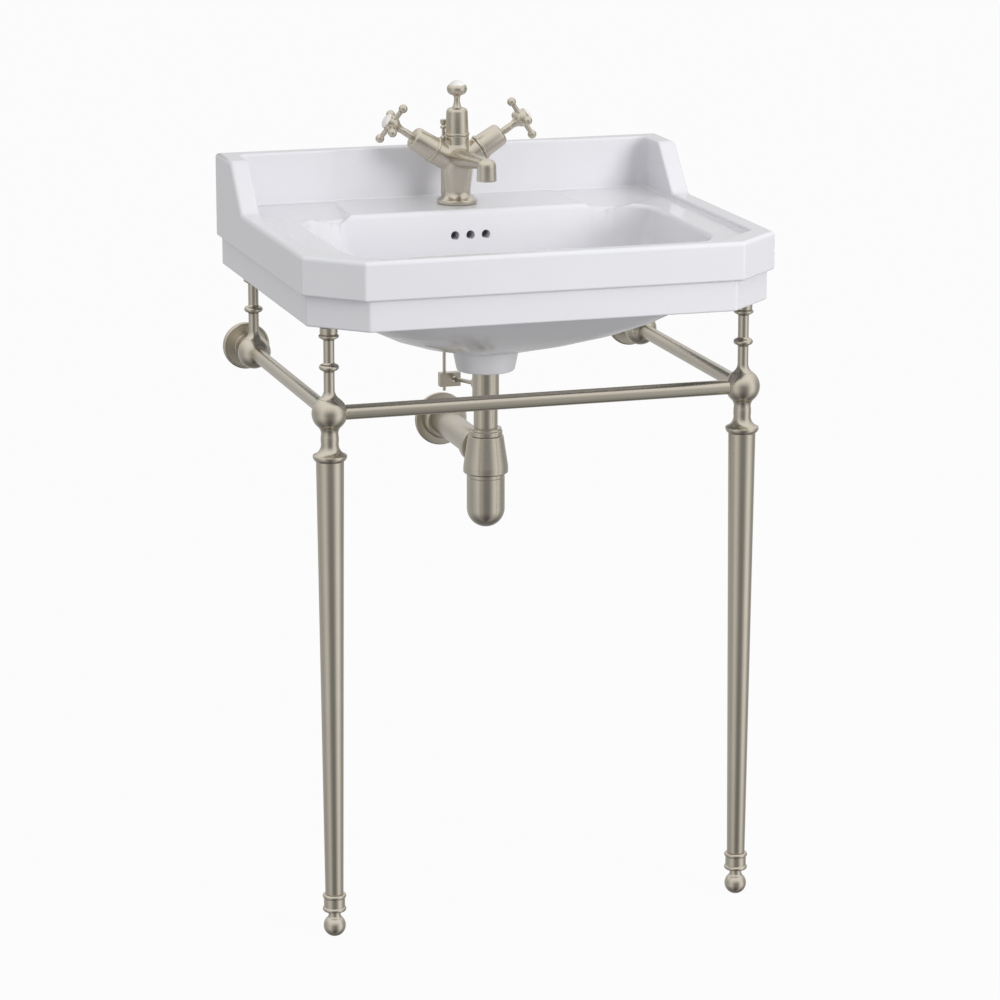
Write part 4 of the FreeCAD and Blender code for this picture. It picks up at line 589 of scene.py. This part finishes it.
# Z of a loft runs forwards, its Y upwards
forwards = Matrix.Translation((tapAxis.x, tapAxis.y, spoutHeight)) @ Matrix.Rotation(quarter, 4, "X")
socketOval = (socketShape["width"], socketShape["height"], 0)
socket = lofted([(0, *socketOval), (socketShape["reach"], *socketOval)])
tapShapes = [(core, upright(tapAxis)), (boss, upright(rodSpot)), (rib, ribSpot), (socket, forwards)]
tapShapes += [(arm, alongArm(side)) for side in (-1, 1)]
addCasting("mixerBody", tapShapes, bodyShape, nickel, "frame", "tap_body")

noseShape = {"top": 11.2, "foot": 11.8, "low": 12.4, "high": 13, "round": 7, "bore": 9, "boreDeep": 9.8,
             "soft": 0.8}
nosePoint = Vector((tapAxis.x, tapAxis.y - spoutShape["reach"], spoutHeight))
nose = turned([
    (0, -noseShape["low"] + noseShape["boreDeep"]),
    (noseShape["bore"], -noseShape["low"] + noseShape["boreDeep"]),
    (noseShape["bore"], -noseShape["low"]),
    (noseShape["foot"], -noseShape["low"], 0, noseShape["soft"]),
    (noseShape["top"], noseShape["high"], 0, noseShape["round"]),
    (0, noseShape["high"]),
])
spoutShapes = [(lofted(spoutShape["stations"]), forwards), (nose, Matrix.Translation(nosePoint))]
addCasting("spoutArm", spoutShapes, spoutShape, nickelDeep, "frame", "spout")

bonnetShape = {"start": 33, "ring": 16.6, "ringHeight": 4, "width": 15, "top": 13.7, "height": 33.5,
               "shoulder": 5, "soft": 1.2}
towerShape = {"start": 0, "ring": 15, "ringHeight": 3.6, "width": 13.9, "top": 12.7, "height": 33.5,
              "shoulder": 5, "soft": 1.2}


def cappedTube(shape):
    # a ring at the foot, then a tapering wall to a rounded shoulder
    top = shape["start"] + shape["height"]
    return turned([
        (0, shape["start"]),
        (shape["ring"], shape["start"], 0, shape["soft"]),
        (shape["ring"], shape["start"] + shape["ringHeight"], 0, shape["soft"]),
        (shape["width"], shape["start"] + shape["ringHeight"]),
        (shape["top"], top, 0, shape["shoulder"]),
        (0, top),
    ])


handleShape = {"start": 69, "neck": 4.5, "straight": 9, "stem": 20, "cove": 14, "root": 6.6, "round": 10.6,
               "cup": 9.4, "cupHeight": 12.6, "height": 15, "soft": 0.5, "spokeBar": 2.9, "spokeRoot": 3.5,
               "spokeRise": 28, "reach": 24, "ball": 5.4, "leftTurn": 67, "rightTurn": 0, "voxel": 0.36,
               "passes": 4}
bonnet = cappedTube(bonnetShape)
handleHub = handleShape["start"] + handleShape["stem"]
handleFace = handleHub + handleShape["height"]
handleCore = turned([
    (0, handleShape["start"]),
    (handleShape["neck"], handleShape["start"], 0, handleShape["soft"]),
    (handleShape["neck"], handleShape["start"] + handleShape["straight"], -handleShape["cove"]),
    (handleShape["root"], handleHub, handleShape["round"]),
    (handleShape["cup"], handleHub + handleShape["cupHeight"]),
    (handleShape["cup"], handleFace, 0, handleShape["soft"]),
    (0, handleFace),
])
ballFoot = handleShape["reach"] - acrossBall(handleShape["ball"], handleShape["spokeBar"])
spoke = turned([
    (0, 0),
    (handleShape["spokeRoot"], 0),
    (handleShape["spokeBar"], ballFoot, handleShape["ball"]),
    (0, handleShape["reach"] + handleShape["ball"]),
], spokeSteps)

discShape = {"radius": 9.2, "edge": 0.8, "height": 4.4}
discRise = discShape["height"] - discShape["edge"]
disc = turned([
    (0, handleFace),
    (discShape["radius"], handleFace),
    (discShape["radius"], handleFace + discShape["edge"], domeRadius(discShape["radius"], discRise)),
    (0, handleFace + discShape["height"]),
])

spokeHeight = handleShape["start"] + handleShape["spokeRise"]
for side, water, firstTurn in ((-1, "hot", handleShape["leftTurn"]), (1, "cold", handleShape["rightTurn"])):
    armSpot = alongArm(side)
    handle = [(handleCore, armSpot)]
    for degrees in (0, 90, 180, 270):
        turn = Matrix.Rotation(math.radians(firstTurn + degrees), 4, "Z")
        out = Matrix.Translation((0, 0, spokeHeight)) @ turn @ Matrix.Rotation(quarter, 4, "Y")
        handle.append((spoke, armSpot @ out))
    body = f"{water}_handle"
    addCasting(f"crossHandle_{water}", handle, handleShape, nickelArms[side], body, f"handle_{water}")
    addMetal(f"valveBonnet_{water}", [(bonnet, armSpot)], nickelArms[side], "frame", f"bonnet_{water}")
    index = gathered([(disc, armSpot)])
    addPiece(f"indexDisc_{water}", index, porcelain, "porcelain", body, f"index_{water}")

addMetal("towerCap", [(cappedTube(towerShape), upright(tapAxis, towerSeat))], nickel, "frame", "tower")

finialShape = {"base": 6, "waist": 3.6, "waistRise": 11.5, "cove": 22, "waistCove": 4.4, "throat": 15.2,
               "root": 5.4, "cup": 12.1, "round": 7.5, "lip": 9.9, "lipRise": 3.6, "lipRound": 6,
               "dome": 9.6, "soft": 0.5}
cupHigh, domeTop = levelsOf("finial_knob")
lipTop = cupHigh + finialShape["lipRise"]
finial = turned([
    (0, towerTop),
    (finialShape["base"], towerTop, -finialShape["cove"], finialShape["soft"]),
    (finialShape["waist"], towerTop + finialShape["waistRise"], -finialShape["waistCove"]),
    (finialShape["root"], towerTop + finialShape["throat"], finialShape["round"]),
    (finialShape["cup"], cupHigh, finialShape["lipRound"]),
    (finialShape["lip"], lipTop),
    (0, lipTop),
])
addMetal("finialCup", [(finial, upright(tapAxis))], nickel, "frame", "finial")
dome = turned([
    (0, lipTop),
    (finialShape["dome"], lipTop, domeRadius(finialShape["dome"], domeTop - lipTop)),
    (0, domeTop),
])
addPiece("finialDome", gathered([(dome, upright(tapAxis))]), porcelain, "porcelain", "frame", "finial_knob")

pullShape = {"disc": 3.9, "thick": 2.4, "neck": 2.5, "neckRise": 4.2, "capRise": 6.6, "soft": 0.7}
pullLow, pullHigh = levelsOf("lift_knob")
pull = turned([
    (0, pullLow),
    (pullShape["disc"], pullLow, 0, pullShape["soft"]),
    (pullShape["disc"], pullLow + pullShape["thick"], 0, pullShape["soft"]),
    (pullShape["neck"], pullLow + pullShape["neckRise"]),
    (pullShape["disc"], pullLow + pullShape["capRise"], 0, pullShape["soft"]),
    (pullShape["disc"], pullHigh, 0, pullShape["soft"]),
    (0, pullHigh),
], smallSteps)
addMetal("liftPull", [(pull, upright(rodSpot))], nickel, "lift_rod", "lift_knob")
print("tap made")


# Waste and trap

tailShape = {"radius": 16, "soft": 0.6, "port": 7, "portReach": 27, "voxel": 0.6, "passes": 3}
tailLow, tailHigh = levelsOf("waste_tail")
tail = plainBar(tailShape["radius"], tailLow, tailHigh, tailShape["soft"])
port = plainBar(tailShape["port"], 0, tailShape["portReach"], steps=smallSteps)
portSpot = Vector((wasteAxis.x, wasteAxis.y, middleOf("ball_nut").z))
tailShapes = [(tail, upright(wasteAxis)), (port, alongY(portSpot))]
addCasting("wasteTail", tailShapes, tailShape, nickel, "frame", "waste_tail")

nutShape = {"radius": 20, "lip": 19, "lipHeight": 2.5, "bevel": 1.2, "soft": 0.5}
nutLow, nutHigh = levelsOf("trap_nut")
lipLow = nutHigh - nutShape["lipHeight"]
trapNut = turned([
    (0, nutLow),
    (nutShape["radius"], nutLow, 0, nutShape["soft"]),
    (nutShape["radius"], lipLow - nutShape["bevel"], 0, nutShape["soft"]),
    (nutShape["lip"], lipLow, 0, nutShape["soft"]),
    (nutShape["lip"], nutHigh, 0, nutShape["soft"]),
    (0, nutHigh),
])
addMetal("trapNut", [(trapNut, upright(wasteAxis))], nickel, "frame", "trap_nut")

coneShape = {"top": 21.2, "skirt": 26.9, "skirtLow": 1.2, "skirtHigh": 8.6, "boss": 18, "bossReach": 36,
             "soft": 1, "voxel": 0.65, "passes": 3}
bottleShape = {"radius": 22.8, "groove": 0.5, "grooveDrop": 4.6}
coneLow, coneHigh = levelsOf("trap_body")
skirtLow = coneLow + coneShape["skirtLow"]
cone = turned([
    (0, coneLow),
    (bottleShape["radius"], coneLow),
    (bottleShape["radius"], skirtLow),
    (coneShape["skirt"], skirtLow, 0, coneShape["soft"]),
    (coneShape["skirt"], coneLow + coneShape["skirtHigh"], 0, coneShape["soft"]),
    (coneShape["top"], coneHigh, 0, coneShape["soft"]),
    (0, coneHigh),
])
outletSpot = Vector((wasteAxis.x, wasteAxis.y, outletHeight))
outletBoss = plainBar(coneShape["boss"], 0, coneShape["bossReach"])
coneShapes = [(cone, upright(wasteAxis)), (outletBoss, alongY(outletSpot))]
addCasting("trapCone", coneShapes, coneShape, nickel, "frame", "trap_body")
bottleLow = levelsOf("bottle")[0]
grooveLow = coneLow - bottleShape["grooveDrop"]
bottle = turned([
    (0, bottleLow, bottleShape["radius"]),
    (bottleShape["radius"], bottleLow + bottleShape["radius"]),
    (bottleShape["radius"], grooveLow),
    (bottleShape["radius"] - bottleShape["groove"], grooveLow + bottleShape["groove"]),
    (bottleShape["radius"], grooveLow + 2 * bottleShape["groove"]),
    (bottleShape["radius"], coneLow),
    (0, coneLow),
])
addMetal("trapBottle", [(bottle, upright(wasteAxis))], nickel, "frame", "bottle")

outletShape = {"radius": 16.8, "bore": 15.3, "nut": 21.5, "soft": 0.8}
nutStart, nutEnd = (corner.y - wasteAxis.y for corner in boxOf("outlet_nut"))
outletNut = turned([
    (0, nutStart),
    (outletShape["nut"], nutStart, 0, outletShape["soft"]),
    (outletShape["nut"], nutEnd, 0, outletShape["soft"]),
    (0, nutEnd),
])
addMetal("outletNut", [(outletNut, alongY(outletSpot))], nickelDeep, "frame", "outlet_nut")
wallReach = wallY - wasteAxis.y
tubeStart = boxOf("outlet_tube")[0].y - wasteAxis.y
tube = turned([
    (outletShape["bore"], tubeStart),
    (outletShape["radius"], tubeStart),
    (outletShape["radius"], wallReach),
    (outletShape["bore"], wallReach),
])
addMetal("outletTube", [(tube, alongY(outletSpot))], nickelDeep, "frame", "outlet_tube")

plateShape = {"neck": 21, "neckDepth": 6, "step": 23, "edge": 5, "disc": 33, "soft": 1.6}
plateStart = boxOf("wall_escutcheon")[0].y - wasteAxis.y
plate = turned([
    (outletShape["radius"], plateStart),
    (plateShape["neck"], plateStart, 0, plateShape["soft"] / 2),
    (plateShape["step"], plateStart + plateShape["neckDepth"]),
    (plateShape["step"], wallReach - plateShape["edge"]),
    (plateShape["disc"], wallReach - plateShape["edge"], 0, plateShape["soft"]),
    (plateShape["disc"], wallReach),
    (outletShape["radius"], wallReach),
])
addMetal("wallPlate", [(plate, alongY(outletSpot))], nickelDeep, "frame", "wall_escutcheon")
print("waste and trap made")


# Basin, a copy of its solid with finer soap trays

# merge and onPlane in millimetres, flat in degrees, change as a share of the volume
basinShape = {"merge": 0.002, "onPlane": 0.0001, "flat": 0.4, "change": 0.02}
# the right-hand tray: its corners at deck level and the slopes of the sides between them,
# the fall of its floor from back to mouth, and the lip that rounds it into the bowl in steps,
# each a distance onwards and a slope
trayShape = {"corners": ((138, 207), (146, 107), (148, 70), (176, 70), (252, 134), (252, 207)),
             "sideSlopes": (36, 36, 60, 16, 12, 12), "back": 207, "backDrop": 0.5, "mouth": 116,
             "mouthDrop": 4.8, "mouthTurn": 11, "lip": ((0, 16), (4, 34)), "above": 3, "below": 16}
# the solid's own flat trays are filled up to the deck first
fillShape = {"low": (146.5, 117), "high": (247, 205), "deep": 8}


def cadCopy(node):
    bm = bmesh.new()
    bm.from_mesh(nodes[node].data)
    bmesh.ops.remove_doubles(bm, verts=bm.verts, dist=basinShape["merge"] * mm)
    bmesh.ops.dissolve_limit(bm, angle_limit=math.radians(basinShape["flat"]), verts=bm.verts, edges=bm.edges)
    return bm


def slicedBlock(low, high, planes=()):
    # a block cut down by planes, each a point and the direction in which all is taken off
    bm = bmesh.new()
    spot = Matrix.Translation((low + high) / 2) @ Matrix.Diagonal((*(high - low), 1))
    bmesh.ops.create_cube(bm, size=1, matrix=spot)
    for point, outwards in planes:
        made = bmesh.ops.bisect_plane(bm, geom=bm.verts[:] + bm.edges[:] + bm.faces[:],
                                      dist=basinShape["onPlane"], plane_co=point, plane_no=outwards,
                                      clear_outer=True)
        rim = [item for item in made["geom_cut"] if isinstance(item, bmesh.types.BMEdge)]
        bmesh.ops.edgeloop_fill(bm, edges=rim)
    return bm


def carved(bm, steps):
    # joins on or cuts away shapes given in millimetres, on both sides of the basin;
    # a step that tears the mesh or changes it too much is passed over
    for operation, shape in steps:
        pair = gathered([(shape, Matrix()), (shape, Matrix.Diagonal((-1, 1, 1, 1)))])
        bmesh.ops.recalc_face_normals(pair, faces=pair.faces)
        stock = addObject("carving", bm)
        cutter = addObject("carving", pair, mm)
        step = stock.modifiers.new("step", "BOOLEAN")
        step.operation = operation
        step.solver = "EXACT"
        step.object = cutter
        result = finishedCopy(stock)
        dropHelper(stock)
        dropHelper(cutter)
        bmesh.ops.remove_doubles(result, verts=result.verts, dist=basinShape["merge"] * mm)
        whole = all(len(edge.link_faces) == 2 for edge in result.edges)
        change = abs(result.calc_volume() / bm.calc_volume() - 1)
        print("carving:", operation.lower(), "whole" if whole else "torn", round(change, 5))
        if whole and change < basinShape["change"]:
            bm = result
    return bm


fillLow = Vector((*fillShape["low"], deckHeight - fillShape["deep"]))
fillHigh = Vector((*fillShape["high"], deckHeight))
fill = slicedBlock(fillLow, fillHigh)

trayCorners = [Vector((x, y, deckHeight)) for x, y in trayShape["corners"]]
traySides = []
for here, ahead, degrees in zip(trayCorners, trayCorners[1:] + trayCorners[:1], trayShape["sideSlopes"]):
    along = (ahead - here).normalized()
    slope = math.radians(degrees)
    traySides.append((here, (along.y * math.sin(slope), -along.x * math.sin(slope), -math.cos(slope))))
trayX = [corner.x for corner in trayCorners]
trayY = [corner.y for corner in trayCorners]
trayLow = Vector((min(trayX), min(trayY), deckHeight - trayShape["below"]))
trayHigh = Vector((max(trayX), max(trayY), deckHeight + trayShape["above"]))

fall = trayShape["mouthDrop"] - trayShape["backDrop"]
floorSlope = math.atan2(fall, trayShape["back"] - trayShape["mouth"])
mouthX = (trayCorners[1].x + trayCorners[3].x) / 2
floorPoint = Vector((mouthX, trayShape["mouth"], deckHeight - trayShape["mouthDrop"]))
floors = [(floorPoint, (0, math.sin(floorSlope), -math.cos(floorSlope)))]
mouthTurn = math.radians(trayShape["mouthTurn"])
# level, towards the middle of the bowl
inwards = Vector((-math.sin(mouthTurn), -math.cos(mouthTurn), 0))
lipSlope = 0
for onwards, degrees in trayShape["lip"]:
    floorPoint = floorPoint + inwards * onwards - Vector((0, 0, onwards * math.tan(lipSlope)))
    lipSlope = math.radians(degrees)
    floors.append((floorPoint, -inwards * math.sin(lipSlope) - Vector((0, 0, math.cos(lipSlope)))))
trayCuts = [("DIFFERENCE", slicedBlock(trayLow, trayHigh, [*traySides, level])) for level in floors]

basinMesh = carved(cadCopy("basin"), [("UNION", fill), *trayCuts])
basin = addPiece("chinaBasin", basinMesh, china, "glazed_china", "frame", "basin", scale=1)
weighted = basin.modifiers.new("evenShading", "WEIGHTED_NORMAL")
weighted.keep_sharp = True
print("basin made:", len(basin.data.polygons), "faces")

# plug and waste body are copies of their solids, with smooth shading
for node, body in (("plug", "plug"), ("waste_body", "frame")):
    addPiece(f"{node}Metal", cadCopy(node), nickel, "satin_nickel", body, node, scale=1)

# the rest keep their solids, with a finish each
finishes = {"satin_nickel": nickel, "steel_fixings": zinc, "rubber": rubber, "porcelain": porcelain,
            "glazed_china": china}
for subpart in frame["record"]["subparts"]:
    shown = nodes[subpart["node"]]
    if not shown.hide_render:
        shown.data.materials.clear()
        shown.data.materials.append(finishes[subpart["material_slot"]])


# Studio, in metres

# soft light from the sides and from above, and the share of its own shading that the floor shows
studio = {"white": "#FFFFFF", "floor": 40, "floorColour": "#A0A0A0", "floorShade": 0.04, "sideLight": 0.46,
          "topLight": 1}
# what polished surfaces see: a room with lit walls on both sides, a dark front, a bright ceiling
# and a dark floor; directions are degrees from the right of the basin, each with the wall's light
walls = ((-180, 0.6), (-155, 0.78), (-108, 0.26), (-90, 0.26), (-40, 1.05), (5, 0.4), (73, 0.6),
         (166, 0.48), (180, 0.6))
ceiling = {"light": 1.1, "low": -0.1, "high": 0.9}
ground = {"light": 0.35, "low": -1, "high": -0.3}
white = linear(studio["white"])


def seenDirectly(tree):
    # 1 for a ray from the camera, also through glass
    path = addNode(tree, "ShaderNodeLightPath")
    rays = {0: path.outputs["Is Camera Ray"], 1: path.outputs["Is Transmission Ray"]}
    return addNode(tree, "ShaderNodeMath", rays, operation="MAXIMUM").outputs[0]


world = bpy.data.worlds.new("studio")
scene.world = world
world.use_nodes = True
tree = world.node_tree
tree.nodes.clear()
direction = addNode(tree, "ShaderNodeTexCoord").outputs["Generated"]
bearing = addNode(tree, "ShaderNodeTexGradient", {"Vector": direction}, gradient_type="RADIAL")
ramp = addNode(tree, "ShaderNodeValToRGB", {"Fac": bearing.outputs["Fac"]})
ramp.color_ramp.interpolation = "EASE"
stops = ramp.color_ramp.elements
stops[1].position = 1
for angle, _ in walls[1:-1]:
    stops.new(angle / 360 + 0.5)        # the ramp goes once round, from the left by the front
for stop, (_, light) in zip(stops, walls):
    stop.color = (light, light, light, 1)
rise = addNode(tree, "ShaderNodeSeparateXYZ", {"Vector": direction}).outputs["Z"]
up = addNode(tree, "ShaderNodeMapRange", {"Value": rise, "From Min": ceiling["low"],
                                          "From Max": ceiling["high"]}, interpolation_type="SMOOTHSTEP")
down = addNode(tree, "ShaderNodeMapRange", {"Value": rise, "From Min": ground["low"],
                                            "From Max": ground["high"], "To Min": ground["light"]},
               interpolation_type="SMOOTHSTEP")
upper = addNode(tree, "ShaderNodeMix", {"Factor": up.outputs["Result"], "A": ramp.outputs["Color"],
                                        "B": [ceiling["light"]] * 3 + [1]}, data_type="RGBA")
mirrored = addNode(tree, "ShaderNodeBackground", {"Color": upper.outputs["Result"],
                                                  "Strength": down.outputs["Result"]})
above = addNode(tree, "ShaderNodeMapRange", {"Value": rise, "To Min": studio["sideLight"],
                                             "To Max": studio["topLight"]})
softLight = addNode(tree, "ShaderNodeBackground", {"Color": white, "Strength": above.outputs["Result"]})
backdrop = addNode(tree, "ShaderNodeBackground", {"Color": white, "Strength": 1})
glossy = addNode(tree, "ShaderNodeLightPath").outputs["Is Glossy Ray"]
around = addNode(tree, "ShaderNodeMixShader", {0: glossy, 1: softLight.outputs[0], 2: mirrored.outputs[0]})
mixed = addNode(tree, "ShaderNodeMixShader", {0: seenDirectly(tree), 1: around.outputs[0],
                                              2: backdrop.outputs[0]})
addNode(tree, "ShaderNodeOutputWorld", {"Surface": mixed.outputs[0]})

# the floor looks white, and keeps a trace of the shadow
paper = bpy.data.materials.new("studioPaper")
paper.use_nodes = True
tree = paper.node_tree
tree.nodes.clear()
shaded = addNode(tree, "ShaderNodeBsdfDiffuse", {"Color": linear(studio["floorColour"])})
glow = addNode(tree, "ShaderNodeEmission", {"Color": white, "Strength": 1})
share = addNode(tree, "ShaderNodeMath", {0: seenDirectly(tree), 1: 1 - studio["floorShade"]},
                operation="MULTIPLY")
mixed = addNode(tree, "ShaderNodeMixShader", {0: share.outputs[0], 1: shaded.outputs[0], 2: glow.outputs[0]})
addNode(tree, "ShaderNodeOutputMaterial", {"Surface": mixed.outputs[0]})
sheet = bmesh.new()
bmesh.ops.create_grid(sheet, x_segments=1, y_segments=1, size=studio["floor"] / 2)
floor = addObject("paleFloor", sheet)
floor.data.materials.append(paper)
floor.visible_glossy = False

lamps = {"keyLamp": {"spot": (1.68, -2.97, 1.557), "aim": (0, 0, 0.8), "size": 1.4, "watts": 66},
         "sideLamp": {"spot": (-2.6, -0.6, 0.5), "aim": (0, 0, 0.7), "size": 1.2, "watts": 8}}
for name, lamp in lamps.items():
    data = bpy.data.lights.new(name, "AREA")
    data.shape = "SQUARE"
    data.size = lamp["size"]
    data.energy = lamp["watts"]
    light = bpy.data.objects.new(name, data)
    light.location = lamp["spot"]
    light.rotation_euler = (Vector(lamp["aim"]) - light.location).to_track_quat("-Z", "Y").to_euler()
    light.visible_glossy = False
    light.visible_camera = False
    scene.collection.objects.link(light)

# lens and sensor in millimetres, turn and down in degrees
cameraSet = {"spot": (-1.2911, -4.1914, 1.539), "turn": 17.182, "down": 13.064, "lens": 136.87, "sensor": 36,
             "shiftDown": 0.05, "farthest": 100}
cameraData = bpy.data.cameras.new("camera")
cameraData.lens = cameraSet["lens"]
cameraData.sensor_width = cameraSet["sensor"]
cameraData.shift_y = -cameraSet["shiftDown"]
cameraData.clip_end = cameraSet["farthest"]
camera = bpy.data.objects.new("camera", cameraData)
camera.location = cameraSet["spot"]
camera.rotation_euler = (math.radians(90 - cameraSet["down"]), 0, math.radians(-cameraSet["turn"]))
scene.collection.objects.link(camera)
scene.camera = camera
scene.view_settings.view_transform = "Standard"
print("studio made")
